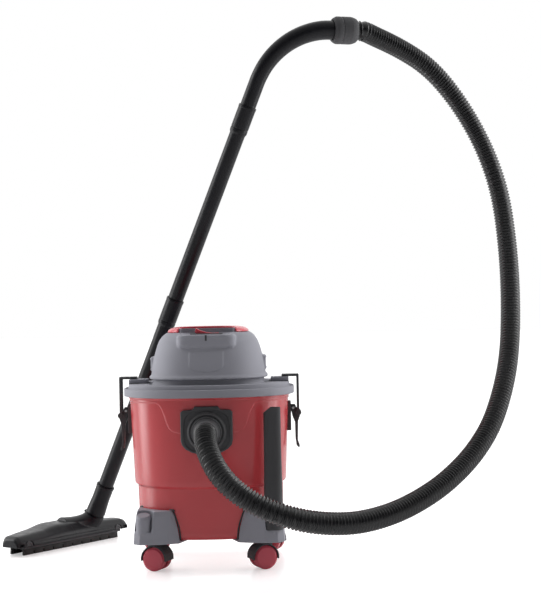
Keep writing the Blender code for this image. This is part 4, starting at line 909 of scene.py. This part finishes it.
def make_lid():
    band, deck = 0.1540, 0.1450
    bottom, band_top, deck_z, collar_z = 0.3005, 0.3140, 0.3215, 0.3310
    floor_z, under_z = 0.3078, 0.3048
    levels = [(band, band, SQUARENESS, bottom), (band, band, SQUARENESS, band_top),
              (deck + 0.0045, deck + 0.0045, SQUARENESS, band_top + 0.0002),
              (deck + 0.0030, deck + 0.0030, SQUARENESS, band_top - 0.0012),
              (deck + 0.0015, deck + 0.0015, SQUARENESS, band_top),
              (deck, deck, SQUARENESS, deck_z),
              (0.1085, 0.1345, 2.8, deck_z + 0.0004), (0.1070, 0.1330, 2.8, deck_z - 0.0014),
              (0.1045, 0.1305, 2.8, deck_z - 0.0014), (0.1010, 0.1270, 2.8, deck_z),
              (0.1000, 0.1260, 2.8, collar_z), (0.0965, 0.1225, 2.8, collar_z),
              (0.0965, 0.1225, 2.8, floor_z), (0.0400, 0.0400, 2, floor_z), (0.0400, 0.0400, 2, under_z),
              (0.0965, 0.1225, 2.8, under_z), (0.1015, 0.1275, 2.8, deck_z - 0.0030),
              (deck - 0.0040, deck - 0.0040, SQUARENESS, deck_z - 0.0030),
              (0.1391, 0.1391, SQUARENESS, under_z), (0.1481, 0.1481, SQUARENESS, under_z),
              (0.1481, 0.1481, SQUARENESS, bottom)]
    lid = loose("lid_moulding", loft([ring(x, y, power, z + LIFT, 176)
                                      for x, y, power, z in soft_levels(levels, 0.0013, 3)], True))
    finished("lid_moulding", lid, lid_grey(), "vacuum", ["lid"], 50)


PAD_INNER, PAD_OUTER, PAD_HALF_Y = 0.1120, 0.1445, 0.0260
PAD_LOW_Z, PAD_TOP_Z = 0.3205, 0.3295
PAD_SLOT_INNER, PAD_SLOT_OUTER, PAD_SLOT_HALF_Y, PAD_SLOT_Z = 0.1310, 0.1420, 0.0190, 0.3245
PAD_GROOVE_Z, PAD_GROOVE_X = 0.3283, 0.1175
PAST = 0.01                  # how far a cutting shape stands past what it cuts


def make_lid_pad(name, side):
    """The raised pad that a latch hooks into: grooved and slotted, with a black bead of painted shade round
    its foot where it meets the deck.
    """
    low, high = sorted((side * PAD_INNER, side * PAD_OUTER))
    pad = loose("lid_pad_" + name, block((low, -PAD_HALF_Y, PAD_LOW_Z), (high, PAD_HALF_Y, PAD_TOP_Z)))
    soften(pad, 0.0016, 4)
    slot = sorted((side * PAD_SLOT_INNER, side * PAD_SLOT_OUTER))
    change(pad, "DIFFERENCE", round_block((slot[0], -PAD_SLOT_HALF_Y, PAD_SLOT_Z),
                                          (slot[1], PAD_SLOT_HALF_Y, 0.3400), 0.0008, 8.0))
    for end in (-1, 1):
        near, far = sorted((end * 0.0224, end * 0.0236))
        change(pad, "DIFFERENCE", block((low - PAST, near, PAD_GROOVE_Z), (high + PAST, far, 0.34)))
    groove = side * PAD_GROOVE_X
    change(pad, "DIFFERENCE", block((groove - 0.0006, -0.03, PAD_GROOVE_Z), (groove + 0.0006, 0.03, 0.34)))
    pad.data.transform(Matrix.Translation((0, 0, LIFT)))
    finished("lid_pad_moulding_" + name, pad, lid_grey(), "vacuum", ["lid_pad_" + name])
    # A black bead round the pad's foot: painted shade standing for the gap between pad and deck.
    edge = [(side * 0.1440, -0.0270, 0.3216), (side * 0.1116, -0.0272, 0.3218),
            (side * 0.1106, -0.0240, 0.3218), (side * 0.1106, 0.0240, 0.3218),
            (side * 0.1116, 0.0272, 0.3218), (side * 0.1440, 0.0270, 0.3216)]
    route = smooth_route([(x, y, z + LIFT) for x, y, z in edge], 0.003)
    finished("lid_pad_edge_shade_" + name, loft(swept(route, [0.0011] * len(route), 10)), trim_black(), "vacuum")


# ================================================================ motor cover
HEAD_SHARES = [(1.000, 1.000, 2.8, 0.000), (1.000, 1.000, 2.8, 0.050), (0.967, 0.974, 2.8, 0.074),
               (0.940, 0.929, 2.8, 0.305), (0.908, 0.876, 2.8, 0.515), (0.870, 0.820, 2.7, 0.695),
               (0.832, 0.763, 2.7, 0.822), (0.776, 0.695, 2.6, 0.926), (0.705, 0.624, 2.6, 1.000)]
HEAD_LOW, HEAD_RISE = 0.3313, 0.0812
HEAD_HALF_X, HEAD_HALF_Y = 0.1070, 0.1330
CONSOLE_HALF_X, CONSOLE_TOP_Z = 0.0520, 0.4098


def head_profile(count=7):
    """The motor cover's levels, smoothed between its lip and its top."""
    shares = [Vector(share) for share in HEAD_SHARES]
    lip, dome = shares[:3], shares[2:]
    padded = [2 * dome[0] - dome[1]] + dome + [2 * dome[-1] - dome[-2]]
    out = lip[:2]
    for a, b, c, d in zip(padded, padded[1:], padded[2:], padded[3:]):
        for step in range(count):
            t = step / count
            out.append(between(a, b, c, d, t))
    out.append(dome[-1])
    return [(HEAD_HALF_X * p[0], HEAD_HALF_Y * p[1], p[2], HEAD_LOW + HEAD_RISE * p[3]) for p in out]


def shield_share(x, z):
    """1 inside the blank shield on the cover's front."""
    half, top, shoulder, tip = 0.0300, 0.3795, 0.3560, 0.3440
    if z > shoulder:
        edge = min(half - abs(x), top - z)
    else:
        edge = half * math.sqrt(max(0.0, 1 - ((shoulder - z) / (shoulder - tip)) ** 2)) - abs(x)
        edge = min(edge, (z - tip) * 0.8)
    share = min(max(0.5 + edge / 0.0022, 0.0), 1.0)
    return share * share * (3 - 2 * share)


def make_motor_cover():
    skin = [ring(*level, 120) for level in head_profile()]
    cover = loose("cover", loft(skin))
    change(cover, "UNION", round_block((-CONSOLE_HALF_X, -0.1125, 0.3860),
                                       (CONSOLE_HALF_X, -0.0440, CONSOLE_TOP_Z), 0.0050, 5.0, 72))
    for side in (-1, 1):
        low, high = sorted((side * 0.0860, side * 0.1055))
        change(cover, "UNION", round_block((low, -0.0300, 0.3436), (high, 0.0300, 0.3700), 0.0040, 5.0, 60))
    change(cover, "DIFFERENCE", round_block((-0.2, -0.0245, 0.3490), (0.2, 0.0245, 0.3645), 0.0020, 7.0, 60))
    change(cover, "DIFFERENCE", round_block((-0.0468, -0.140, 0.4090), (0.0468, -0.0470, 0.450),
                                            0.0050, 5.0, 72))
    change(cover, "DIFFERENCE", round_block((-0.0285, -0.0965, 0.395), (0.0285, -0.0655, 0.43),
                                            0.0004, 20.0, 40))
    core = [ring(x - 0.0042, y - 0.0042, power, min(z, HEAD_LOW + HEAD_RISE - 0.0280), 72)
            for x, y, power, z in head_profile(3)[2:16]]
    core = [ring(0.0965, 0.1225, 2.8, HEAD_LOW + up, 72) for up in (-0.001, 0.004)] + core
    change(cover, "DIFFERENCE", loft(core))
    change(cover, "DIFFERENCE", block((-0.0300, 0.09, 0.3473), (0.0300, 0.16, 0.3693)))
    cast(cover, 0.00150, 3)
    for vertex in cover.data.vertices:
        at = vertex.co
        if at.y < -0.085 and 0.338 < at.z < 0.384 and vertex.normal.y < -0.4:
            at.y -= 0.0010 * shield_share(at.x, at.z)
    cover.data.transform(Matrix.Translation((0, 0, LIFT)))
    finished("motor_cover_moulding", cover, lid_grey(), "vacuum", ["motor_cover"], 60)

    # A small black block on the console's front: painted shade standing for a narrow slot there.
    shape = block((-0.0016, -0.1136, 0.3985 + LIFT), (0.0016, -0.1085, 0.4085 + LIFT))
    slot_shade = loose("slot_shade_block", shape)
    soften(slot_shade, 0.0004, 2)
    finished("slot_shade_block", slot_shade, trim_black(), "vacuum")
    base = loose("console_plate", round_block((-0.0400, -0.1085, CONSOLE_TOP_Z - 0.0020),
                                              (0.0400, -0.0530, CONSOLE_TOP_Z), 0.0008, 6.0, 60))
    change(base, "DIFFERENCE", block((-0.0283, -0.0963, 0.40), (0.0283, -0.0657, 0.42)))
    base.data.transform(Matrix.Translation((0, 0, LIFT)))
    finished("console_plate", base, lid_grey(), "vacuum")


def make_exhaust():
    """The rear grille: its frame and slanted louvres."""
    low, high = about("exhaust_grille")
    grille = from_cad("exhaust_grille")
    soften(grille, 0.0007, 2)
    finished("exhaust_frame", grille, trim_black(), "vacuum", ["exhaust_grille"])
    line = loose("louvre_line", block((0, 0, 0), (0.001, 0.001, 0.001)))
    values = {"Start": Vector((0, high.y - 0.0012, low.z + 0.0068)), "Step": Vector((0, -0.0003, 0.0052)),
              "Count": 5, "Bar Size": Vector((0.0580, 0.0030, 0.0016)), "Finish": trim_black()}
    louvres = bar_row_tree().grow(line, **values)
    finished("exhaust_louvres", louvres, trim_black(), "vacuum")


CAP_HALF_X, CAP_HALF_Y = 0.0735, 0.0805


def make_top_cap():
    """The red cap, cut away round the switch, and the grey lining at the back of that basin."""
    low, top = CAP_LOW.z, CAP_HIGH.z
    rise = top - low
    shares = [(1.000, 0.00), (1.000, 0.16), (0.990, 0.34), (0.955, 0.56), (0.900, 0.74), (0.820, 0.87),
              (0.700, 0.95), (0.550, 0.99), (0.300, 1.00)]
    skin = [ring(CAP_HALF_X * s, CAP_HALF_Y * s, 2.6, low + rise * h, 120) for s, h in shares]
    cap = loose("cap", loft(skin))
    change(cap, "DIFFERENCE", round_block((-0.0528, -0.160, low - 0.02), (0.0528, -0.0434, top + 0.03),
                                          0.003, 7.0, 72))
    cast(cap, 0.0010, 2)
    shape = round_block((-0.0526, -0.0560, low - 0.0052), (0.0526, -0.0436, top - 0.0035), 0.0030, 8.0, 72)
    lining = loose("basin_lining", shape)
    change(lining, "DIFFERENCE", round_block((-0.0480, -0.0700, low - 0.0040),
                                             (0.0480, -0.0475, top + 0.01), 0.0040, 7.0, 72))
    cast(lining, 0.00080, 2)
    finished("basin_lining", lining, lid_grey(), "vacuum")
    finished("top_cap_moulding", cap, cap_red(), "vacuum", ["top_cap"], 60)


def make_switch():
    bezel = from_cad("switch_bezel")
    soften(bezel, 0.0006, 3)
    finished("switch_frame", bezel, trim_black(), "vacuum", ["switch_bezel"])
    rocker = from_cad("rocker_switch")
    soften(rocker, 0.0008, 3, 50)
    finished("switch_rocker", rocker, cap_red(), "rocker", ["rocker_switch"])


# ================================================================ inlet
def make_inlet():
    face, wall = -0.1493, -0.14134
    plate = from_cad("inlet_plate")
    lean = Matrix.Rotation(-math.pi / 2, 4, "X")
    hollow = moved(loft([ring(0.0395, 0.0355, 3.4, z, 64) for z in (0.0, 0.0030)]),
                   Matrix.Translation((0, face - 0.0016, INLET.z + 0.0015)) @ lean)
    change(plate, "DIFFERENCE", hollow)
    cast(plate, 0.00070, 2)
    finished("inlet_surround", plate, trim_black(), "vacuum", ["inlet_plate"], 60)

    lie = Matrix.Rotation(math.pi / 2, 4, "X")
    tail = wall + 0.018
    seat = wall - face + 0.018 + GAP
    socket = [(0.0222, 0.0), (0.0245, 0.0), (0.0245, seat - 0.002), (0.0345, seat - 0.002),
              (0.0345, seat + 0.0010), (0.0330, seat + 0.0016), (0.0320, seat + 0.0048),
              (0.0306, seat + 0.0060), (0.0292, seat + 0.0060), (0.0284, seat + 0.0046),
              (0.0270, seat + 0.0046), (0.0264, seat + 0.0060), (0.0258, seat + 0.0115),
              (0.0222, seat + 0.0115)]
    shape = turned(soft_profile(socket, 0.0008, 3, True), 96, True)
    finished("inlet_ring", moved(shape, Matrix.Translation((0, tail, INLET.z)) @ lie), trim_black(), "vacuum",
             ["inlet_socket"], 50)

    lip, end = seat + 0.0115 + RUN, seat + 0.0410
    r = 0.0222 - RUN
    cuff = [(0.0165, seat - 0.020), (r, seat - 0.020), (r, lip), (r + 0.0022, lip),
            (r + 0.0022, lip + 0.0045),
            (r - 0.0004, lip + 0.0058), (r - 0.0010, lip + 0.0100), (r - 0.0002, lip + 0.0112),
            (r - 0.0002, lip + 0.0140), (r - 0.0014, lip + 0.0152), (HOSE_OD / 2 + 0.0008, end - 0.002),
            (HOSE_OD / 2 + 0.0004, end), (0.0165, end)]
    shape = turned(soft_profile(cuff, 0.0008, 3, True), 96, True)
    finished("hose_cuff_moulding", moved(shape, Matrix.Translation((0, tail, INLET.z)) @ lie), trim_black(),
             "cuff", ["hose_cuff"], 50)


# ================================================================ feet and casters
# How far above a foot's top the black bead of painted shade runs on the tank.
GAP_SHADE_ABOVE_FOOT = 0.0012
FOOT_PLACES = (("front_left", -1, -1), ("front_right", 1, -1), ("rear_left", -1, 1), ("rear_right", 1, 1))


def make_foot(name, side, end):
    foot = from_cad("foot_" + name)
    cast(foot, 0.00090, 3)
    finished("foot_moulding_" + name, foot, lid_grey(), "vacuum", ["foot_" + name], 60)
    # A black bead round the foot's upper edge on the tank wall: painted shade standing for the gap between
    # foot and tank.
    corner = math.atan2(end, side)
    span, top = math.radians(22.5), about("foot_" + name)[1].z + GAP_SHADE_ABOVE_FOOT
    points = []
    for edge in (-1, 1):
        rows = [(0.0560, span * 1.03), (0.0700, span * 1.01), (0.0820, span * 0.965),
                (top - 0.010, span * 0.86), (top - 0.004, span * 0.81), (top, span * 0.74)]
        rows = rows if edge < 0 else rows[::-1]
        points += [(corner + edge * s, z) for z, s in rows]
    line = []
    for angle, z in points:
        reach = tank_reach(angle, z) + 0.0004
        line.append(Vector((reach * math.cos(angle), reach * math.sin(angle), z)))
    route = smooth_route(line, 0.003)
    bead = loft(swept(route, [0.0013] * len(route), 10))
    finished("foot_gap_shade_" + name, bead, trim_black(), "vacuum")


def make_caster(name, side, end):
    hood = from_cad("caster_hood_" + name)
    cast(hood, 0.00050, 2)
    finished("caster_cover_" + name, hood, trim_black(), "swivel_" + name,
             ["caster_hood_" + name], 60)
    yaw = math.radians(69) * side * end
    hub = middle_of("caster_axle_" + name) - AXIS
    hub.z = 0
    for hand, mark, label in ((-1, "l", "left"), (1, "r", "right")):
        near, far, r = 0.0050, 0.0180, 0.0210
        profile = [(0.0028, far - 0.0050), (0.0028, near), (0.0100, near), (0.0115, near + 0.0016),
                   (0.0170, near + 0.0016), (0.0182, near), (r - 0.0006, near), (r, near + 0.0008),
                   (r, near + 0.0050), (r - 0.0005, near + 0.0054), (r - 0.0005, near + 0.0060),
                   (r, near + 0.0064),
                   (r, far - 0.0032), (r - 0.0012, far - 0.0020), (r - 0.0022, far - 0.0018),
                   (r - 0.0028, far - 0.0006), (r - 0.0040, far - 0.0002), (0.0060, far)]
        shape = turned([(0, far - 0.0050)] + soft_profile(profile, 0.0005, 2) + [(0, far)], 72)
        shape.transform(Matrix.Rotation(hand * math.pi / 2, 4, "Y"))
        bmesh.ops.recalc_face_normals(shape, faces=shape.faces)
        turn = Matrix.Translation(hub + Vector((0, 0, r))) @ Matrix.Rotation(yaw, 4, "Z")
        finished(f"caster_tyre_{name}_{mark}", moved(shape, turn), wheel_red(), f"wheel_{name}_{label}",
                 [f"caster_wheel_{name}_{mark}"], 45)


# ================================================================ side latches
def make_latch(name):
    for node, body, voxel in (("latch_plate_", "vacuum", 0.00050), ("latch_lever_", "lever_", 0.00040),
                              ("latch_hook_", "hook_", 0.00038)):
        part = from_cad(node + name)
        cast(part, voxel, 2)
        body = body if body == "vacuum" else body + name
        finished(node + "moulding_" + name, part, trim_black(), body, [node + name], 60)


# ================================================================ crevice tool
def make_crevice_tool():
    bottom, wall, length = TOOL_LOW.z, 0.0018, TOOL_HIGH.z - TOOL_LOW.z
    peg = Vector((0.1130, -0.1280, 0))
    levels = [(0.0165, 0.0165, 0.0), (0.0165, 0.0165, 0.044), (0.0163, 0.0155, 0.054),
              (0.0160, 0.0130, 0.076), (0.0156, 0.0108, 0.098), (0.0152, 0.0092, 0.122),
              (0.0150, 0.0086, 0.150), (0.0150, 0.0080, length)]
    skin = [ring(x, y, 2.3, bottom + z, 64) for x, y, z in levels]
    rim = [ring(0.0150 - 0.0005, 0.0080 - 0.0005, 2.3, bottom + length + 0.0003, 64)]
    core = [ring(x - wall, y - wall, 2.3, bottom + z, 64) for x, y, z in levels]
    for row in (skin[-1], rim[0], core[-1]):
        for point in row:
            point.z -= 0.75 * max(0.0, -point.x - 0.002)
    shape = loft(skin + rim + core[::-1], True)
    collar = [(0.0165, 0.0), (0.0172, 0.0006), (0.0172, 0.0050), (0.0165, 0.0058), (0.0150, 0.0058),
              (0.0150, 0.0)]
    tool = loose("tool_body", shape)
    change(tool, "UNION", moved(turned(collar, 64, True), Matrix.Translation((0, 0, bottom + 0.0004))))
    tool.data.transform(Matrix.Translation(peg))
    finished("crevice_tool_moulding", tool, trim_black(), "crevice_tool", ["crevice_tool"], 45)


# ================================================================ wand
def make_wand():
    stand = Matrix.Translation(WAND_FOOT) @ turn_to(WAND_AXIS).to_4x4()
    bore, mouth_r, joint = TUBE_R - TUBE_WALL, TUBE_R + GAP + SOCKET_WALL, WAND_LENGTH * WAND_SPLIT

    def tube(name, node, low, high, body):
        step = high - 0.0520
        profile = [(bore, low), (TUBE_R, low), (TUBE_R, step - 0.0045), (mouth_r - 0.0004, step),
                   (mouth_r - 0.0004, step + 0.0060), (mouth_r - 0.0009, step + 0.0066),
                   (mouth_r - 0.0009, step + 0.0076), (mouth_r - 0.0004, step + 0.0082),
                   (mouth_r - 0.0004, high - 0.0052), (mouth_r, high - 0.0046), (mouth_r, high),
                   (TUBE_R + GAP, high), (TUBE_R + GAP, high - 0.0403), (bore, high - 0.0403)]
        shape = moved(turned(soft_profile(profile, 0.0006, 2, True), 72, True), stand)
        finished(name, shape, wand_black(), body, [node], 50)

    tube("lower_tube", "tube_lower", NECK_LENGTH - INSERT_LENGTH, joint, "vacuum")
    tube("upper_tube", "tube_upper", joint - INSERT_LENGTH, WAND_LENGTH, "vacuum")

    r = mouth_r
    end, seat = NECK_LENGTH, NECK_LENGTH - INSERT_LENGTH - GAP
    neck = [(bore, 0.0005), (0.0178, 0.0005), (r + 0.0018, 0.0050), (r + 0.0014, 0.0120),
            (r + 0.0003, 0.0300), (r, 0.0340), (r, end - 0.0045), (r + 0.0009, end - 0.0039),
            (r + 0.0009, end), (TUBE_R + GAP, end), (TUBE_R + GAP, seat), (bore, seat)]
    shape = moved(turned(soft_profile(neck, 0.0007, 3, True), 72, True), stand)
    finished("nozzle_neck_moulding", shape, wand_black(), "vacuum", ["nozzle_neck"], 50)


def make_handle():
    path = handle_path()
    path = smooth_route(path[:3] + path[3::3] + ([path[-1]] if (len(path) - 4) % 3 else []), 0.006)
    count = len(path)
    reach = []
    for k in range(count):
        share = k / (count - 1)
        r = TUBE_R + (0.0180 - TUBE_R) * min(max((share - 0.30) / 0.60, 0.0), 1.0)
        reach.append(r)
    skin = swept(path, reach, 48)
    core = swept(path, [r - TUBE_WALL for r in reach], 48)
    handle = loose("handle", loft(skin + core[::-1], True))
    finished("wand_handle", handle, wand_black(), "vacuum", ["handle_tube"], 50)

    r, end = 0.0258, 0.0370
    grip = 0.0180 + RUN
    coupling = [(grip, -0.0100), (grip + 0.0030, -0.0100), (grip + 0.0040, -0.0088), (r - 0.0004, -0.0040),
                (r, -0.0020), (r, 0.0050), (r - 0.0008, 0.0058), (r - 0.0008, 0.0070), (r, 0.0078),
                (r, 0.0250), (r - 0.0012, 0.0300), (r - 0.0030, 0.0345), (HOSE_OD / 2 + 0.0015, end),
                (0.0155, end), (0.0155, 0.0008), (grip, 0.0008)]
    stand = Matrix.Translation(handle_path()[-1]) @ turn_to(HANDLE_OUT).to_4x4()
    shape = moved(turned(soft_profile(coupling, 0.0009, 3, True), 96, True), stand)
    finished("hose_coupling_moulding", shape, trim_black(), "coupling", ["hose_coupling"], 50)


# ================================================================ floor nozzle
NOZZLE_HEADING = math.radians(54)
NOZZLE_MIDDLE = Vector((-0.3050, 0.2103, 0))
NOZZLE_LENGTH, NOZZLE_WIDTH, NOZZLE_FLOOR_Z = 0.3090, 0.0760, 0.0165
CLIP_SHARE = 0.80            # how far out along the nozzle its clips stand
NOZZLE_PLACE = Matrix.Translation(NOZZLE_MIDDLE) @ Matrix.Rotation(NOZZLE_HEADING, 4, "Z")


def nozzle_section(along, front, rear, low, high, steps=5):
    """The nozzle's outline across, with a rounded shoulder on each side of its back."""
    near, far, rise = -NOZZLE_WIDTH / 2 * front, NOZZLE_WIDTH / 2 * rear, high - low
    wide = far - near
    corners = [(near, low), (far, low), (far + 0.0004, low + 0.0035), (far - 0.0006, low + 0.50 * rise),
               (far - 0.13 * wide, high - 0.06 * rise), (far - 0.35 * wide, high), (near + 0.37 * wide, high),
               (near + 0.21 * wide, high - 0.05 * rise), (near + 0.0006, low + 0.42 * rise),
               (near - 0.0004, low + 0.0035)]
    corners = [Vector(corner) for corner in corners]
    points = []
    for at, corner in enumerate(corners):
        before, after = corners[at - 1], corners[(at + 1) % len(corners)]
        cut = 0.0010 if at in (0, 1, 2, 9) else 0.0050
        start = corner + (before - corner).normalized() * min(cut, (before - corner).length * 0.45)
        end = corner + (after - corner).normalized() * min(cut, (after - corner).length * 0.45)
        for step in range(steps):
            t = step / (steps - 1)
            points.append(bent(start, corner, end, t))
    return [Vector((along, v, z)) for v, z in points]


def make_nozzle():
    reach, floor = NOZZLE_LENGTH / 2, NOZZLE_FLOOR_Z
    half = [(1.000, 0.93, 0.06, 0.0300), (0.985, 0.96, 0.15, 0.0335), (0.930, 0.99, 0.35, 0.0368),
            (0.80, 1.00, 0.52, 0.0378), (0.60, 1.00, 0.74, 0.0395), (0.45, 1.00, 0.86, 0.0412),
            (0.30, 1.00, 0.96, 0.0450), (0.20, 1.00, 1.00, 0.0468)]
    stations = [(-a, front, rear, top) for a, front, rear, top in half] + half[::-1]
    body = loose("nozzle", loft([nozzle_section(reach * a, front, rear, floor, top)
                                 for a, front, rear, top in stations]))
    to_local = NOZZLE_PLACE.inverted()
    foot, axis = to_local @ WAND_FOOT, to_local.to_3x3() @ WAND_AXIS
    start, knee, stop = Vector((0, 0, floor + 0.014)), foot - axis * 0.0300, foot - axis * GAP
    path = [bent(start, knee, stop, k / 24) for k in range(25)]
    path.append(stop + 0.01 * axis)
    duct = swept(path, [DUCT_R * (1.25 - 0.25 * k / 24) for k in range(26)], 48)[:-1]
    duct[-1] = [point - axis * (point - stop).dot(axis) for point in duct[-1]]
    change(body, "UNION", loft(duct))
    side = axis.cross(Vector((0, 0, 1))).normalized()
    lift = side.cross(axis).normalized()
    fin = [(-0.0050, 0.0150), (0.0060, 0.0245), (0.0080, 0.0240), (0.0060, 0.0150)]
    top_point = stop - axis * 0.0090
    change(body, "UNION", loft([[top_point + axis * u + lift * w + side * s for u, w in fin]
                                for s in (-0.0045, 0.0045)]))
    change(body, "DIFFERENCE", block((-reach, -NOZZLE_WIDTH, -0.1), (reach, NOZZLE_WIDTH, floor)))
    change(body, "DIFFERENCE", loft(swept(path, [TUBE_R - TUBE_WALL] * 26, 40)))
    change(body, "DIFFERENCE", block((0.016 - reach, -0.28 * NOZZLE_WIDTH, -0.1),
                                     (reach - 0.016, 0.16 * NOZZLE_WIDTH, floor + 0.012)))
    edge = -NOZZLE_WIDTH / 2
    for end in (-1, 1):
        change(body, "DIFFERENCE", moved(rod(0.0105, (0, edge - 0.004, 0), (0, edge + 0.003, 0), 40),
                                         Matrix.Translation((end * reach * CLIP_SHARE, 0, floor + 0.001))))
        slit = sorted((end * reach * 0.900, end * reach * 0.970))
        change(body, "DIFFERENCE", block((slit[0], edge - 0.004, floor + 0.0018),
                                         (slit[1], edge + 0.005, floor + 0.0062)))
    cast(body, 0.00100, 2)
    for vertex in body.data.vertices:                               # parting line and middle seam
        at = vertex.co
        line = floor + 0.0066
        if abs(at.z - line) < 0.0011 and at.y < edge + 0.004 and abs(at.x) < reach - 0.004:
            at.y += 0.0010 * (1 - abs(at.z - line) / 0.0011)
        if abs(at.x) < 0.0010 and at.y < edge + 0.012 and at.z > floor:
            at.y += 0.0008 * (1 - abs(at.x) / 0.0010)
    body.data.transform(NOZZLE_PLACE)
    finished("nozzle_shell", body, wand_black(), "nozzle", ["nozzle_body"], 60)

    for end, name in ((-1, "near"), (1, "far")):                    # round clips in their notches
        profile = [(0.0, 0.0), (0.0092, 0.0), (0.0092, 0.0022), (0.0080, 0.0034), (0.0055, 0.0034),
                   (0.0048, 0.0026), (0.0, 0.0026)]
        shape = turned(soft_profile(profile, 0.0005, 2), 48)
        clip = loose("clip", moved(shape, Matrix.Rotation(math.pi / 2, 4, "X")))
        change(clip, "DIFFERENCE", block((-0.02, -0.02, -0.02), (0.02, 0.02, 0.0)))
        place = Matrix.Translation((end * reach * CLIP_SHARE, edge + 0.0034, floor + 0.0010))
        clip.data.transform(NOZZLE_PLACE @ place)
        finished("nozzle_clip_" + name, clip, trim_black(), "nozzle")

    sole = from_cad("nozzle_sole")
    soften(sole, 0.0006, 2)
    finished("nozzle_sole_plate", sole, trim_black(), "nozzle", ["nozzle_sole"])
    squeegee = from_cad("squeegee_strip")
    soften(squeegee, 0.0004, 2)
    finished("squeegee_blade", squeegee, seal_rubber(), "nozzle", ["squeegee_strip"])
    make_brush()


def tuft_tree():
    """Bristle tufts in a row: splayed tapered hairs, seeded."""
    growth = Growth("bristle_tufts")
    growth.ask("Start", "NodeSocketVector")
    growth.ask("Step", "NodeSocketVector")
    growth.ask("Count", "NodeSocketInt")
    growth.ask("Hair Radius")
    growth.ask("Hair Length")
    growth.ask("Seed", "NodeSocketInt")
    growth.ask("Finish", "NodeSocketMaterial")
    given = growth.open()
    line = growth.add("GeometryNodeMeshLine", {"Count": given["Count"], "Start Location": given["Start"],
                                               "Offset": given["Step"]})
    tip = growth.sum("MULTIPLY", given["Hair Radius"], 0.5)
    sources = {"Vertices": 5, "Radius Top": tip, "Radius Bottom": given["Hair Radius"],
               "Depth": given["Hair Length"]}
    hair = growth.add("GeometryNodeMeshCone", sources)
    lean = growth.add("FunctionNodeRandomValue", {"Seed": given["Seed"]}, data_type="FLOAT_VECTOR")
    lean.inputs[0].default_value = (-0.16, -0.16, 0.0)
    lean.inputs[1].default_value = (0.16, 0.16, 6.283)
    hang = growth.add("ShaderNodeVectorMath", operation="ADD")
    growth.tree.links.new(lean.outputs[0], hang.inputs[0])
    hang.inputs[1].default_value = (math.pi, 0.0, 0.0)
    placed = growth.add("GeometryNodeInstanceOnPoints",
                        {"Points": line.outputs[0], "Instance": hair.outputs[0], "Rotation": hang.outputs[0]})
    growth.close(placed.outputs[0], given["Finish"])
    return growth


BRUSH_OFFSET = 0.0050        # across the nozzle, from its middle


def make_brush():
    """The brush strip: a rubbery back and rows of bristles."""
    back = from_cad("brush_strip")
    soften(back, 0.0004, 2)
    finished("brush_back", back, seal_rubber(), "nozzle", ["brush_strip"])
    tree = tuft_tree()
    for row, offset in enumerate((-0.0033, 0.0033)):
        line = loose("tuft_line", block((0, 0, 0), (0.001, 0.001, 0.001)))
        values = {"Start": Vector((-0.1290, BRUSH_OFFSET + offset, 0.0116)), "Step": Vector((0.00086, 0, 0)),
                  "Count": 300, "Hair Radius": 0.00035, "Hair Length": 0.0112, "Seed": 7 + row,
                  "Finish": trim_black()}
        grown = tree.grow(line, **values)
        grown.data.transform(NOZZLE_PLACE)
        finished("brush_bristles_" + ("front", "back")[row], grown, trim_black(), "nozzle")


# ================================================================ screws and inner pieces
def make_screws():
    """Screws under the feet and under the nozzle's sole."""
    tree = screw_tree()
    under_feet = [((side * x, end * y, 0.0504), (0, 0, -1))
                  for x, y in ((0.118, 0.118), (0.070, 0.112)) for _name, side, end in FOOT_PLACES]
    under_sole = [(NOZZLE_PLACE @ Vector((u, v, 0.0122)), (0, 0, -1))
                  for u in (-0.1275, 0.1275) for v in (-0.0200, -0.0020)]
    groups = {"foot_screws": (under_feet, 0.0034, 0.0016, "vacuum"),
              "sole_screws": (under_sole, 0.0026, 0.0012, "nozzle")}
    for name, (places, radius, height, body) in groups.items():
        mesh = point_marks(name, places)
        marks = bpy.data.objects.new(name, mesh)
        bpy.context.scene.collection.objects.link(marks)
        values = {"Head Radius": radius, "Head Height": height, "Finish": steel()}
        heads = tree.grow(marks, **values)
        finished(name, heads, steel(), body)


def finish_the_rest():
    """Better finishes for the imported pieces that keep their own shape."""
    finishes = {"lid_seal": seal_rubber, "cable_gland": trim_black, "fan_housing": inner_plastic,
                "motor": steel, "motor_shaft": steel, "fan": inner_plastic, "float_cage": inner_plastic,
                "float_ball": float_white, "filter_sleeve": foam}
    for name, _side, _end in FOOT_PLACES:
        finishes["caster_axle_" + name] = steel
    for name in ("left", "right"):
        finishes["latch_pin_" + name] = steel
    for node, finish in finishes.items():
        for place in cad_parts[node].material_slots:
            place.material = finish()


# ================================================================ the whole
make_camera()
make_studio()
make_hose()
make_tank()
make_lid()
make_motor_cover()
make_exhaust()
make_top_cap()
make_switch()
make_inlet()
for foot_name, foot_side, foot_end in FOOT_PLACES:
    make_foot(foot_name, foot_side, foot_end)
    make_caster(foot_name, foot_side, foot_end)
for latch_name, latch_side in (("left", -1), ("right", 1)):
    make_lid_pad(latch_name, latch_side)
    make_latch(latch_name)
make_crevice_tool()
make_wand()
make_handle()
make_nozzle()
make_screws()
finish_the_rest()
